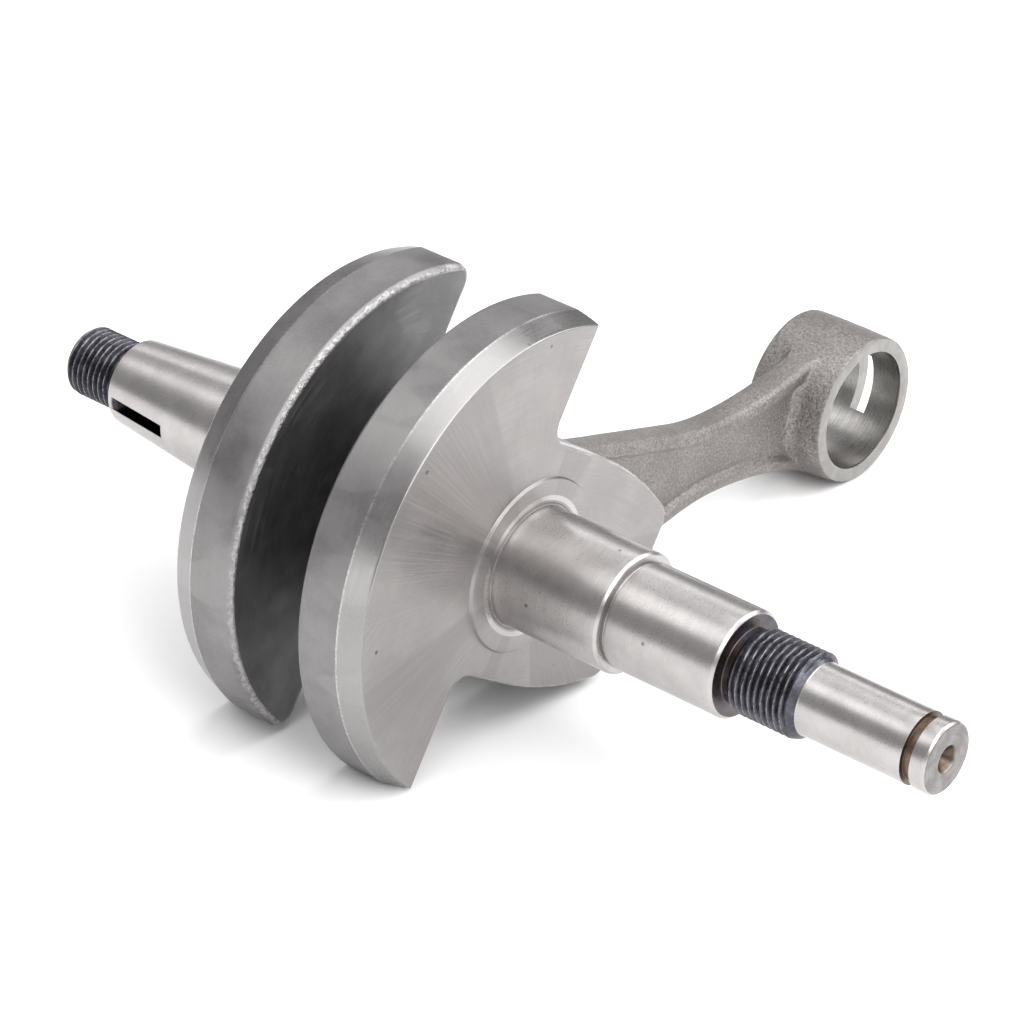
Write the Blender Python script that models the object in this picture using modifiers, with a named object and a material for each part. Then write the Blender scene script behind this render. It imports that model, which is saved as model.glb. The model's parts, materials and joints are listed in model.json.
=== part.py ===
"""Built-up crankshaft of a small single-cylinder engine, with its connecting rod.

Two crank halves are pressed on one crankpin. The rod's big end runs on the pin in a needle
cage between two thrust washers. All lengths are in metres, +Z is up, and +X runs along the
main shaft towards the drive end. The assembly lies at rest as it would on a bench.
"""

import math

import bmesh
import bpy
from mathutils import Matrix, Vector

MM = 0.001
GAP = 0.3 * MM

# Main shaft, measured along X from the middle plane between the two webs
WEB_INNER = 5.72 * MM
WEB_OUTER = 16.14 * MM
BEVEL_START = 12.65 * MM
RIM_RADIUS = 34.4 * MM
FACE_RADIUS = 33.3 * MM
BOSS_RADIUS = 12.3 * MM
BOSS_FACE = 16.6 * MM
BEARING_RADIUS = 8.5 * MM
SHAFT_ROOT = 9.0 * MM

# Drive end
CLUTCH_RADIUS = 7.5 * MM
CLUTCH_START = 34.7 * MM
CLUTCH_END = 51.94 * MM
DRIVE_THREAD_RADIUS = 6.0 * MM
DRIVE_THREAD_START = 53.6 * MM
DRIVE_THREAD_END = 63.4 * MM
TAIL_RADIUS = 5.0 * MM
CLIP_GROOVE = (79.5 * MM, 80.9 * MM)
CLIP_GROOVE_RADIUS = 4.3 * MM
DRIVE_END = 83.2 * MM

# Flywheel end
BEARING_END = 32.8 * MM
TAPER_END = 55.6 * MM
TAPER_SMALL_RADIUS = 6.3 * MM
FLYWHEEL_THREAD_RADIUS = 5.1 * MM
FLYWHEEL_END = 65.3 * MM
NECK_LENGTH = 1.0 * MM
CENTRE_RADIUS = 1.95 * MM
CENTRE_PILOT_RADIUS = 0.8 * MM
CENTRE_PILOT_DEPTH = 2.2 * MM
CENTRE_TIP_DEPTH = 0.5 * MM

# Edge and root sizes along both shafts
SEAT_STEP = 0.5 * MM
SEAT_FILLET = 0.4 * MM
END_CHAMFER = 0.4 * MM
DRIVE_THREAD_ROOT = 0.7 * MM
FLYWHEEL_THREAD_ROOT = 0.6 * MM
THREAD_LEAD_IN = 0.3 * MM
THREAD_END_CHAMFER = 0.7 * MM
THREAD_END_DROP = 0.5 * MM
THREAD_SHOULDER = 1.0 * MM
RIM_CHAMFER = 0.9 * MM
TRIM_EXTRA = 0.5 * MM
TRIM_CLEARANCE = 0.1 * MM
PIN_HOLE_EXTRA = 1.0 * MM

# Key seat in the taper, cut with a disc cutter
KEY_WIDTH = 2.0 * MM
KEY_CUTTER_RADIUS = 5.5 * MM
KEY_DEPTH = 2.9 * MM
KEY_MIDDLE = 49.35 * MM
KEY_ANGLE = math.radians(217.3)

# Web outline, in the plane across the shaft: "out" runs from the shaft to the crankpin
THROW = 19.5 * MM
FLANK_BACK = 6.3 * MM
FLANK_FILLET = 3.0 * MM
TIP_FILLET = 1.25 * MM
LOBE_HALF_WIDTH = 16.4 * MM
LOBE_SIDE_START = 6.0 * MM
LOBE_SIDE_RADIUS = 53.0 * MM
LOBE_END = 27.4 * MM
LOBE_FILLET = 3.0 * MM

# Crankpin bearing
PIN_RADIUS = 6.0 * MM
PIN_HALF_LENGTH = 13.2 * MM
ROLLER_COUNT = 13
ROLLER_RADIUS = 1.25 * MM
ROLLER_HALF_LENGTH = 3.2 * MM
ROLLER_ORBIT = PIN_RADIUS + GAP + ROLLER_RADIUS
BIG_BORE = ROLLER_ORBIT + ROLLER_RADIUS + GAP
CAGE_INNER = 6.5 * MM
CAGE_OUTER = 8.6 * MM
CAGE_HALF_LENGTH = 4.2 * MM
POCKET_EXTRA = 2.0 * MM
PIN_CHAMFER = 0.5 * MM
ROLLER_CHAMFER = 0.25 * MM
WASHER_THICKNESS = 0.6 * MM
WASHER_INNER = 6.35 * MM
WASHER_OUTER = 10.5 * MM

# Connecting rod
ROD_LENGTH = 73.0 * MM
ROD_ANGLE = math.radians(27.7)
BIG_END_RADIUS = 13.85 * MM
BIG_END_HALF_WIDTH = WEB_INNER - 2 * GAP - WASHER_THICKNESS
SMALL_END_RADIUS = 11.35 * MM
SMALL_BORE = 9.17 * MM
SMALL_END_HALF_WIDTH = 6.65 * MM
WAIST_AT = 43.0 * MM
WAIST_HALF_WIDTH = 5.75 * MM
WAIST_RADIUS_BIG = 40.0 * MM
WAIST_RADIUS_SMALL = 70.0 * MM
SHANK_SLOPE = math.radians(12.28)
SHANK_HALF_THICKNESS = 2.45 * MM
SHANK_START = 3.2 * MM
SHANK_END = 68.6 * MM
BIG_END_SWELL = (8.0 * MM, 20.0 * MM)
BIG_END_STEP = 0.3 * MM
SMALL_END_SWELL = (54.0 * MM, 66.0 * MM)
SMALL_END_STEP = 0.5 * MM
RECESS_START = (14.0 * MM, 20.0 * MM)
RECESS_END = (57.5 * MM, 62.0 * MM)
RECESS_SLOPE = 0.7
RECESS_DEPTH = 1.2 * MM
RECESS_EDGE = 0.2 * MM
FLANGE_WIDTH = 2.1 * MM
FLANGE_DRAFT = 0.25 * MM
EYE_CHAMFER = 0.4 * MM
BORE_CUTTER_EXTRA = 2.0 * MM
SLOT_CUTTER_EXTRA = 1.0 * MM
SHANK_SECTIONS = 26
OIL_SLOT_WIDTH = 2.6 * MM
OIL_SLOT_OFFSET = 0.3 * MM
OIL_SLOT_HALF_ANGLE = math.radians(31)

ROUND_STEPS = 40
RIM_STEPS = 96
RING_STEPS = 39
ROLLER_STEPS = 12
SLOT_STEPS = 10
SMOOTH_ANGLE = math.radians(35)

GROUND_STEEL = (0.62, 0.61, 0.59)
FORGED_STEEL = (0.42, 0.40, 0.38)
BEARING_STEEL = (0.70, 0.70, 0.71)
CAGE_STEEL = (0.52, 0.50, 0.47)


def clear_scene():
    for old in list(bpy.data.objects):
        bpy.data.objects.remove(old, do_unlink=True)


def new_collection(name):
    collection = bpy.data.collections.new(name)
    bpy.context.scene.collection.children.link(collection)
    return collection


def steel(name, colour, roughness):
    material = bpy.data.materials.new(name)
    material.use_nodes = True
    shader = material.node_tree.nodes["Principled BSDF"]
    shader.inputs["Base Color"].default_value = (*colour, 1.0)
    shader.inputs["Roughness"].default_value = roughness
    shader.inputs["Metallic"].default_value = 1.0
    return material


def add_object(name, mesh, collection, parent=None, material=None):
    obj = bpy.data.objects.new(name, mesh)
    collection.objects.link(obj)
    obj.parent = parent
    if material:
        mesh.materials.append(material)
    return obj


def as_cutter(obj):
    obj.hide_render = True
    obj.display_type = "WIRE"
    return obj


def add_empty(name, location, turn, parent, collection):
    empty = add_object(name, None, collection, parent)
    empty.location = location
    empty.rotation_euler = (turn, 0.0, 0.0)
    return empty


def enclosed_area(points):
    """The area inside a closed outline, positive when the outline runs anticlockwise."""
    pairs = zip(points, points[1:] + points[:1])
    return sum(x0 * r1 - x1 * r0 for (x0, r0), (x1, r1) in pairs) / 2


def turned(name, profile, collection, parent, material=None, steps=ROUND_STEPS):
    """A profile of (x, radius) points swept round the X axis. An open profile starts and ends on
    the axis; one whose last point repeats the first makes a ring. The points are put in the order
    that turns the faces outwards, which is with the solid on their left."""
    ring = profile[0] == profile[-1]
    points = profile[:-1] if ring else profile
    if enclosed_area(points) < 0:
        points = points[::-1]
    edges = [(i, i + 1) for i in range(len(points) - 1)]
    if ring:
        edges.append((len(points) - 1, 0))
    mesh = bpy.data.meshes.new(name)
    mesh.from_pydata([(x, 0.0, radius) for x, radius in points], edges, [])
    obj = add_object(name, mesh, collection, parent, material)
    screw = obj.modifiers.new("Turn", "SCREW")
    screw.axis = "X"
    screw.steps = screw.render_steps = steps
    screw.use_merge_vertices = True
    screw.merge_threshold = 1e-6
    screw.use_smooth_shade = True
    return obj


def boolean(obj, cutter, operation):
    modifier = obj.modifiers.new(f"{operation.title()} {cutter.name}", "BOOLEAN")
    modifier.operation = operation
    modifier.object = cutter


def boolean_with_all(obj, operands, operation, tools):
    """One Boolean with several operands at once, which stay together in a collection."""
    group = bpy.data.collections.new(f"{obj.name}_{operation.lower()}")
    tools.children.link(group)
    for operand in operands:
        tools.objects.unlink(operand)
        group.objects.link(operand)
    modifier = obj.modifiers.new(operation.title(), "BOOLEAN")
    modifier.operation = operation
    modifier.operand_type = "COLLECTION"
    modifier.collection = group


def cylinder_cutter(name, radius, x_low, x_high, location, parent, collection):
    profile = [(x_low, 0.0), (x_low, radius), (x_high, radius), (x_high, 0.0)]
    cutter = as_cutter(turned(name, profile, collection, parent))
    cutter.location = location
    return cutter


def arc(centre, radius, start_deg, end_deg, steps):
    """Points along an arc in the (out, across) plane, both ends included."""
    points = []
    for i in range(steps + 1):
        angle = math.radians(start_deg + (end_deg - start_deg) * i / steps)
        points.append((centre[0] + radius * math.cos(angle), centre[1] + radius * math.sin(angle)))
    return points


def web_outline():
    """The half outline from the lobe's end to the back of the rim, then its mirror image."""
    side_centre = (LOBE_SIDE_START, LOBE_HALF_WIDTH - LOBE_SIDE_RADIUS)
    corner_out = LOBE_END - LOBE_FILLET
    reach = LOBE_SIDE_RADIUS - LOBE_FILLET
    corner_across = side_centre[1] + math.sqrt(reach**2 - (corner_out - side_centre[0]) ** 2)
    meet = math.degrees(math.acos((corner_out - side_centre[0]) / reach))
    tip_out = -FLANK_BACK - TIP_FILLET
    tip_across = math.sqrt((RIM_RADIUS - TIP_FILLET) ** 2 - tip_out**2)
    tip_meet = math.degrees(math.atan2(tip_across, tip_out))
    half = arc((corner_out, corner_across), LOBE_FILLET, 0, meet, 5)
    half += arc(side_centre, LOBE_SIDE_RADIUS, meet, 90, 6)[1:]
    fillet_centre = (-FLANK_BACK + FLANK_FILLET, LOBE_HALF_WIDTH + FLANK_FILLET)
    half += arc(fillet_centre, FLANK_FILLET, 270, 180, 6)
    half += arc((tip_out, tip_across), TIP_FILLET, 0, tip_meet, 5)
    half += arc((0.0, 0.0), RIM_RADIUS, tip_meet, 180, 24)[1:]
    return half + [(out, -across) for out, across in reversed(half[:-1])]


def web_blank(name, side, collection, parent, material):
    """The flat outline given its thickness, between the web's inner and outer face."""
    curve = bpy.data.curves.new(name + "_outline", "CURVE")
    curve.dimensions = "2D"
    curve.fill_mode = "BOTH"
    curve.extrude = (WEB_OUTER - WEB_INNER) / 2
    outline = web_outline()
    spline = curve.splines.new("POLY")
    spline.points.add(len(outline) - 1)
    for point, (out, across) in zip(spline.points, outline):
        point.co = (out, across, 0.0, 1.0)
    spline.use_cyclic_u = True
    flat = add_object(name + "_outline", curve, collection)
    # The curve's own X, Y and Z become the crank's Y (out), Z (across) and X (along the shaft).
    flat.rotation_euler = (math.radians(90), 0.0, math.radians(90))
    bpy.context.view_layer.update()
    evaluated = flat.evaluated_get(bpy.context.evaluated_depsgraph_get())
    mesh = bpy.data.meshes.new_from_object(evaluated)
    mesh.transform(flat.matrix_world)
    for vertex in mesh.vertices:
        vertex.co.x += side * (WEB_INNER + WEB_OUTER) / 2
    shape = bmesh.new()
    shape.from_mesh(mesh)
    bmesh.ops.remove_doubles(shape, verts=shape.verts, dist=1e-7)
    bmesh.ops.recalc_face_normals(shape, faces=shape.faces)
    shape.to_mesh(mesh)
    shape.free()
    mesh.name = name
    bpy.data.objects.remove(flat)
    return add_object(name, mesh, collection, parent, material)


def centre_hole(end_x, side):
    """The 60 degree centre in a shaft's end, from its mouth to its drilled tip."""
    cone = (CENTRE_RADIUS - CENTRE_PILOT_RADIUS) / math.tan(math.radians(30))
    pilot_end = cone + CENTRE_PILOT_DEPTH
    return [
        (end_x, CENTRE_RADIUS),
        (end_x - side * cone, CENTRE_PILOT_RADIUS),
        (end_x - side * pilot_end, CENTRE_PILOT_RADIUS),
        (end_x - side * (pilot_end + CENTRE_TIP_DEPTH), 0.0),
    ]


def drive_shaft_profile():
    neck = DRIVE_THREAD_RADIUS - DRIVE_THREAD_ROOT
    return [
        (SHAFT_ROOT, 0.0),
        (SHAFT_ROOT, BOSS_RADIUS),
        (BOSS_FACE, BOSS_RADIUS),
        (BOSS_FACE, BEARING_RADIUS),
        (CLUTCH_START - 2 * SEAT_STEP, BEARING_RADIUS),
        (CLUTCH_START - SEAT_STEP, CLUTCH_RADIUS + SEAT_FILLET),
        (CLUTCH_START, CLUTCH_RADIUS),
        (CLUTCH_END - SEAT_STEP, CLUTCH_RADIUS),
        (CLUTCH_END, CLUTCH_RADIUS - SEAT_STEP),
        (CLUTCH_END, neck),
        (DRIVE_THREAD_START - SEAT_STEP, neck),
        (DRIVE_THREAD_START, DRIVE_THREAD_RADIUS),
        (DRIVE_THREAD_END - THREAD_SHOULDER, DRIVE_THREAD_RADIUS),
        (DRIVE_THREAD_END, TAIL_RADIUS),
        (CLIP_GROOVE[0], TAIL_RADIUS),
        (CLIP_GROOVE[0], CLIP_GROOVE_RADIUS),
        (CLIP_GROOVE[1], CLIP_GROOVE_RADIUS),
        (CLIP_GROOVE[1], TAIL_RADIUS),
        (DRIVE_END - END_CHAMFER, TAIL_RADIUS),
        (DRIVE_END, TAIL_RADIUS - END_CHAMFER),
    ] + centre_hole(DRIVE_END, 1)


def flywheel_shaft_profile():
    neck = FLYWHEEL_THREAD_RADIUS - FLYWHEEL_THREAD_ROOT
    thread_start = TAPER_END + NECK_LENGTH
    return [
        (-SHAFT_ROOT, 0.0),
        (-SHAFT_ROOT, BOSS_RADIUS),
        (-BOSS_FACE, BOSS_RADIUS),
        (-BOSS_FACE, BEARING_RADIUS),
        (-BEARING_END, BEARING_RADIUS),
        (-TAPER_END, TAPER_SMALL_RADIUS),
        (-TAPER_END, neck),
        (-thread_start + THREAD_LEAD_IN, neck),
        (-thread_start, FLYWHEEL_THREAD_RADIUS),
        (-FLYWHEEL_END + THREAD_END_CHAMFER, FLYWHEEL_THREAD_RADIUS),
        (-FLYWHEEL_END, FLYWHEEL_THREAD_RADIUS - THREAD_END_DROP),
    ] + centre_hole(-FLYWHEEL_END, -1)


def rim_profile(side):
    """The turned blank that trims the web: bevelled outside, a small chamfer inside."""
    inner, outer = WEB_INNER - TRIM_EXTRA, WEB_OUTER + TRIM_EXTRA
    slope = (RIM_RADIUS - FACE_RADIUS) / (WEB_OUTER - BEVEL_START)
    return [
        (side * inner, 0.0),
        (side * inner, RIM_RADIUS - RIM_CHAMFER - TRIM_EXTRA),
        (side * (WEB_INNER + RIM_CHAMFER), RIM_RADIUS + TRIM_CLEARANCE),
        (side * BEVEL_START, RIM_RADIUS + TRIM_CLEARANCE),
        (side * outer, FACE_RADIUS - slope * TRIM_EXTRA + TRIM_CLEARANCE),
        (side * outer, 0.0),
    ]


def crank_half(name, side, shaft_profile, parts, tools, parent):
    web = web_blank(name, side, parts, parent, steel(name + "_steel", GROUND_STEEL, 0.34))
    rim = as_cutter(turned(name + "_rim_trim", rim_profile(side), tools, parent, steps=RIM_STEPS))
    shaft = as_cutter(turned(name + "_shaft", shaft_profile, tools, parent))
    hole_depth = PIN_HALF_LENGTH + GAP
    ends = sorted((side * (WEB_INNER - PIN_HOLE_EXTRA), side * hole_depth))
    hole = cylinder_cutter(
        name + "_pin_hole", PIN_RADIUS + GAP, ends[0], ends[1], (0.0, THROW, 0.0), parent, tools
    )
    boolean(web, rim, "INTERSECT")
    boolean(web, shaft, "UNION")
    boolean(web, hole, "DIFFERENCE")
    return web


def key_seat(parent, tools):
    """A disc across the taper, with its axis square to the shaft, sunk by the key's depth."""
    slope = (BEARING_RADIUS - TAPER_SMALL_RADIUS) / (TAPER_END - BEARING_END)
    surface = BEARING_RADIUS - slope * (KEY_MIDDLE - BEARING_END)
    height = surface + KEY_CUTTER_RADIUS - KEY_DEPTH
    mesh = bpy.data.meshes.new("key_seat")
    shape = bmesh.new()
    bmesh.ops.create_cone(
        shape,
        cap_ends=True,
        segments=ROUND_STEPS,
        radius1=KEY_CUTTER_RADIUS,
        radius2=KEY_CUTTER_RADIUS,
        depth=KEY_WIDTH,
    )
    shape.to_mesh(mesh)
    shape.free()
    seat = as_cutter(add_object("key_seat", mesh, tools, parent))
    seat.location = (-KEY_MIDDLE, height * math.cos(KEY_ANGLE), height * math.sin(KEY_ANGLE))
    # Its axis lies across the shaft, at right angles to the direction that it is sunk in.
    seat.rotation_euler = (KEY_ANGLE, 0.0, 0.0)
    return seat


def smooth_step(value, low, high):
    """0 below low, 1 above high, and an even S between."""
    t = min(max((value - low) / (high - low), 0.0), 1.0)
    return t * t * (3 - 2 * t)


def shank_half_width(at):
    """Straight flanks from the big end, then one arc down to the waist and another up from it."""
    if at >= WAIST_AT:
        rise = WAIST_RADIUS_SMALL - math.sqrt(WAIST_RADIUS_SMALL**2 - (at - WAIST_AT) ** 2)
        return WAIST_HALF_WIDTH + rise
    flank_start = WAIST_AT - WAIST_RADIUS_BIG * math.sin(SHANK_SLOPE)
    on_arc = max(at, flank_start)
    rise = WAIST_RADIUS_BIG - math.sqrt(WAIST_RADIUS_BIG**2 - (WAIST_AT - on_arc) ** 2)
    return WAIST_HALF_WIDTH + rise + (on_arc - at) * math.tan(SHANK_SLOPE)


def shank_section(at):
    """The I section at a distance along the rod, as (x, across) points. Its outer sides draft to
    a parting line at mid thickness."""
    half_width = shank_half_width(at)
    half = SHANK_HALF_THICKNESS
    small_end_rise = SMALL_END_HALF_WIDTH - SMALL_END_STEP - half
    big_end_rise = BIG_END_HALF_WIDTH - BIG_END_STEP - half
    half += small_end_rise * smooth_step(at, *SMALL_END_SWELL)
    half += big_end_rise * (1 - smooth_step(at, *BIG_END_SWELL))
    depth = RECESS_DEPTH * smooth_step(at, *RECESS_START) * (1 - smooth_step(at, *RECESS_END))
    inner = half_width - FLANGE_WIDTH
    quarter = [
        (half - depth, inner - RECESS_EDGE - RECESS_SLOPE * depth),
        (half, inner),
        (half, half_width - FLANGE_DRAFT),
    ]
    right = [(x, -across) for x, across in reversed(quarter)] + quarter
    left = [(-x, across) for x, across in reversed(right)]
    return [(0.0, -half_width)] + right + [(0.0, half_width)] + left


def rod_shank(name, parts, parent, material):
    """A loft through the I sections, from inside the big end to inside the small end."""
    rows = []
    for i in range(SHANK_SECTIONS):
        at = SHANK_START + (SHANK_END - SHANK_START) * i / (SHANK_SECTIONS - 1)
        rows.append([Vector((x, at, across)) for x, across in shank_section(at)])
    shape = bmesh.new()
    rings = [[shape.verts.new(point) for point in row] for row in rows]
    count = len(rings[0])
    for low, high in zip(rings, rings[1:]):
        for i in range(count):
            j = (i + 1) % count
            shape.faces.new((low[i], low[j], high[j], high[i]))
    shape.faces.new(rings[0])
    shape.faces.new(rings[-1])
    bmesh.ops.recalc_face_normals(shape, faces=shape.faces)
    mesh = bpy.data.meshes.new(name)
    shape.to_mesh(mesh)
    shape.free()
    mesh.shade_smooth()
    mesh.set_sharp_from_angle(angle=SMOOTH_ANGLE)
    return add_object(name, mesh, parts, parent, material)


def bar_profile(radius, half_length, chamfer):
    """A round bar across the middle plane, with both its edges chamfered."""
    return [
        (-half_length, 0.0),
        (-half_length, radius - chamfer),
        (-half_length + chamfer, radius),
        (half_length - chamfer, radius),
        (half_length, radius - chamfer),
        (half_length, 0.0),
    ]


def oil_slot(parent, tools):
    """A slot through the far wall of the small end, on the part of its rim away from the shank."""
    inner, outer = SMALL_BORE - SLOT_CUTTER_EXTRA, SMALL_END_RADIUS + SLOT_CUTTER_EXTRA
    half = OIL_SLOT_WIDTH / 2
    mesh = bpy.data.meshes.new("oil_slot")
    profile = [(-half, inner), (-half, outer), (half, outer), (half, inner)]
    shape = bmesh.new()
    rings = []
    for i in range(SLOT_STEPS + 1):
        angle = OIL_SLOT_HALF_ANGLE * (2 * i / SLOT_STEPS - 1)
        rings.append(
            [shape.verts.new((x, r * math.cos(angle), r * math.sin(angle))) for x, r in profile]
        )
    for low, high in zip(rings, rings[1:]):
        for i in range(4):
            shape.faces.new((low[i], low[(i + 1) % 4], high[(i + 1) % 4], high[i]))
    shape.faces.new(rings[0])
    shape.faces.new(rings[-1])
    bmesh.ops.recalc_face_normals(shape, faces=shape.faces)
    shape.to_mesh(mesh)
    shape.free()
    slot = as_cutter(add_object("oil_slot", mesh, tools, parent))
    slot.location = (OIL_SLOT_OFFSET, ROD_LENGTH, 0.0)
    return slot


def connecting_rod(parts, tools, parent):
    rod = rod_shank("connecting_rod", parts, parent, steel("rod_steel", FORGED_STEEL, 0.5))
    big_profile = bar_profile(BIG_END_RADIUS, BIG_END_HALF_WIDTH, EYE_CHAMFER)
    small_profile = bar_profile(SMALL_END_RADIUS, SMALL_END_HALF_WIDTH, EYE_CHAMFER)
    big = as_cutter(turned("big_end_eye", big_profile, tools, parent))
    small = as_cutter(turned("small_end_eye", small_profile, tools, parent))
    big_centre, small_centre = (0.0, 0.0, 0.0), (0.0, ROD_LENGTH, 0.0)
    small.location = small_centre
    reach = SMALL_END_HALF_WIDTH + BORE_CUTTER_EXTRA
    big_bore = cylinder_cutter("big_end_bore", BIG_BORE, -reach, reach, big_centre, parent, tools)
    small_bore = cylinder_cutter(
        "small_end_bore", SMALL_BORE, -reach, reach, small_centre, parent, tools
    )
    boolean_with_all(rod, [big, small], "UNION", tools)
    boolean_with_all(rod, [big_bore, small_bore, oil_slot(parent, tools)], "DIFFERENCE", tools)
    return rod


def crankpin(parts, parent):
    profile = bar_profile(PIN_RADIUS, PIN_HALF_LENGTH, PIN_CHAMFER)
    return turned("crankpin", profile, parts, parent, steel("crankpin_steel", BEARING_STEEL, 0.2))


def ring(name, inner, outer, x_low, x_high, parts, parent, material):
    profile = [(x_low, inner), (x_low, outer), (x_high, outer), (x_high, inner), (x_low, inner)]
    return turned(name, profile, parts, parent, material, steps=RING_STEPS)


def needle_cage(parts, tools, parent):
    """A sleeve with one pocket a roller, each wider than its roller by a gap on both sides."""
    cage = ring(
        "big_end_needle_cage",
        CAGE_INNER,
        CAGE_OUTER,
        -CAGE_HALF_LENGTH,
        CAGE_HALF_LENGTH,
        parts,
        parent,
        steel("cage_steel", CAGE_STEEL, 0.45),
    )
    size = (
        2 * (ROLLER_HALF_LENGTH + GAP),
        CAGE_OUTER - CAGE_INNER + POCKET_EXTRA,
        2 * (ROLLER_RADIUS + GAP),
    )
    mesh = bpy.data.meshes.new("cage_pockets")
    shape = bmesh.new()
    for i in range(ROLLER_COUNT):
        angle = 2 * math.pi * i / ROLLER_COUNT
        box = bmesh.ops.create_cube(shape, size=1.0)["verts"]
        bmesh.ops.scale(shape, vec=size, verts=box)
        bmesh.ops.translate(shape, vec=(0.0, (CAGE_INNER + CAGE_OUTER) / 2, 0.0), verts=box)
        turn = Matrix.Rotation(angle, 3, "X")
        bmesh.ops.rotate(shape, cent=(0.0, 0.0, 0.0), matrix=turn, verts=box)
    shape.to_mesh(mesh)
    shape.free()
    pockets = as_cutter(add_object("cage_pockets", mesh, tools, parent))
    boolean(cage, pockets, "DIFFERENCE")
    return cage


def needle_rollers(parts, parent):
    profile = bar_profile(ROLLER_RADIUS, ROLLER_HALF_LENGTH, ROLLER_CHAMFER)
    for i in range(ROLLER_COUNT):
        angle = 2 * math.pi * i / ROLLER_COUNT
        name = f"needle_roller_{i + 1:02d}"
        material = steel(name + "_steel", BEARING_STEEL, 0.18)
        roller = turned(name, profile, parts, parent, material, ROLLER_STEPS)
        roller.location = (0.0, ROLLER_ORBIT * math.cos(angle), ROLLER_ORBIT * math.sin(angle))


def thrust_washer(name, side, parts, parent):
    near = BIG_END_HALF_WIDTH + GAP
    ends = sorted((side * near, side * (near + WASHER_THICKNESS)))
    material = steel(name + "_steel", CAGE_STEEL, 0.4)
    return ring(name, WASHER_INNER, WASHER_OUTER, ends[0], ends[1], parts, parent, material)


def resting_turn():
    """How far the crank is turned about its shaft so that the counterweight's tip and the small
    end both touch the ground: two circles with one tangent line below them."""
    tip_out = -FLANK_BACK - TIP_FILLET
    tip_across = -math.sqrt((RIM_RADIUS - TIP_FILLET) ** 2 - tip_out**2)
    span_out = THROW + ROD_LENGTH * math.cos(ROD_ANGLE) - tip_out
    span_across = ROD_LENGTH * math.sin(ROD_ANGLE) - tip_across
    span = math.hypot(span_out, span_across)
    lean = math.asin((SMALL_END_RADIUS - TIP_FILLET) / span)
    return math.atan2(span_across, span_out) - lean


def stand_on_ground(root, parts):
    """Moves the whole assembly so that the middle of its box's base is the origin."""
    bpy.context.view_layer.update()
    graph = bpy.context.evaluated_depsgraph_get()
    corners = []
    for obj in parts.objects:
        if obj.type == "EMPTY":
            continue
        evaluated = obj.evaluated_get(graph)
        mesh = evaluated.to_mesh()
        corners += [evaluated.matrix_world @ vertex.co for vertex in mesh.vertices]
        evaluated.to_mesh_clear()
    low = [min(corner[i] for corner in corners) for i in range(3)]
    high = [max(corner[i] for corner in corners) for i in range(3)]
    root.location = (-(low[0] + high[0]) / 2, -(low[1] + high[1]) / 2, -low[2])
    bpy.context.view_layer.update()


def main():
    clear_scene()
    parts = new_collection("crankshaft_assembly")
    tools = new_collection("cutters")
    shaft_axis = add_empty("shaft_axis", (0.0, 0.0, 0.0), -resting_turn(), None, parts)
    pin_axis = add_empty("crankpin_axis", (0.0, THROW, 0.0), 0.0, shaft_axis, parts)
    rod_axis = add_empty("rod_axis", (0.0, 0.0, 0.0), ROD_ANGLE, pin_axis, parts)
    crank_half("drive_side_crank_half", 1, drive_shaft_profile(), parts, tools, shaft_axis)
    name = "flywheel_side_crank_half"
    flywheel_half = crank_half(name, -1, flywheel_shaft_profile(), parts, tools, shaft_axis)
    boolean(flywheel_half, key_seat(shaft_axis, tools), "DIFFERENCE")
    crankpin(parts, pin_axis)
    connecting_rod(parts, tools, rod_axis)
    needle_cage(parts, tools, rod_axis)
    needle_rollers(parts, rod_axis)
    thrust_washer("thrust_washer_drive_side", 1, parts, pin_axis)
    thrust_washer("thrust_washer_flywheel_side", -1, parts, pin_axis)
    stand_on_ground(shaft_axis, parts)


main()
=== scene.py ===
"""Looks of a built-up crankshaft of a small single-cylinder engine, with its connecting rod.

Every shape is a numpy surface in metres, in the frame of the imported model. "Out" runs from the
shaft to the crankpin, "across" is square to it, and X runs along the shaft to the drive end.
"""

import json
import math

import bmesh
import bpy
import numpy as np
from bpy.props import FloatProperty, FloatVectorProperty, IntProperty, PointerProperty
from mathutils import Euler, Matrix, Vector


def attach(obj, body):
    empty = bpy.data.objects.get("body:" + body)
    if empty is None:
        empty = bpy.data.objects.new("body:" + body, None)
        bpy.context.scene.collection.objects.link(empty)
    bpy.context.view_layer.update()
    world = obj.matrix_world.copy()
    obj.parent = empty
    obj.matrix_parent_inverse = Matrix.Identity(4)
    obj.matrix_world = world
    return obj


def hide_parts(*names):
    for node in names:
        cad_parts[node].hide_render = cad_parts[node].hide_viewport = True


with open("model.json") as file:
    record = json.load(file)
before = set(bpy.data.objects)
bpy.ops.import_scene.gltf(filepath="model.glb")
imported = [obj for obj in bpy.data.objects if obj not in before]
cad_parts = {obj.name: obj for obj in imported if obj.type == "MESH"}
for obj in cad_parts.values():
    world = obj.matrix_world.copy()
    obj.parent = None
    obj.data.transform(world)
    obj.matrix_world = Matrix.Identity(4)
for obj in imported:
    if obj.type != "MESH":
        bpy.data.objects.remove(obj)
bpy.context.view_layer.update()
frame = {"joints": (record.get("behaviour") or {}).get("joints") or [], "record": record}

bl_info = {
    "name": "Crankshaft looks",
    "version": (1, 0, 0),
    "blender": (4, 5, 0),
    "location": "3D View > Sidebar > Crankshaft",
    "description": "Builds the visual model and the stage of a single-cylinder crankshaft",
    "category": "Object",
}

MM = 0.001
WELD = 2e-6
TURN = 2 * math.pi


def mount_point(name):
    for mount in frame["record"]["mounts"]:
        if mount["name"] == name:
            return np.array(mount["pos_m"])
    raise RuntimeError(f"the record has no mount {name}")


def joint_point(name):
    for joint in frame["joints"]:
        if joint["name"] == name:
            return np.array(joint["pos_m"])
    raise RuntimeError(f"the record has no joint {name}")


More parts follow.
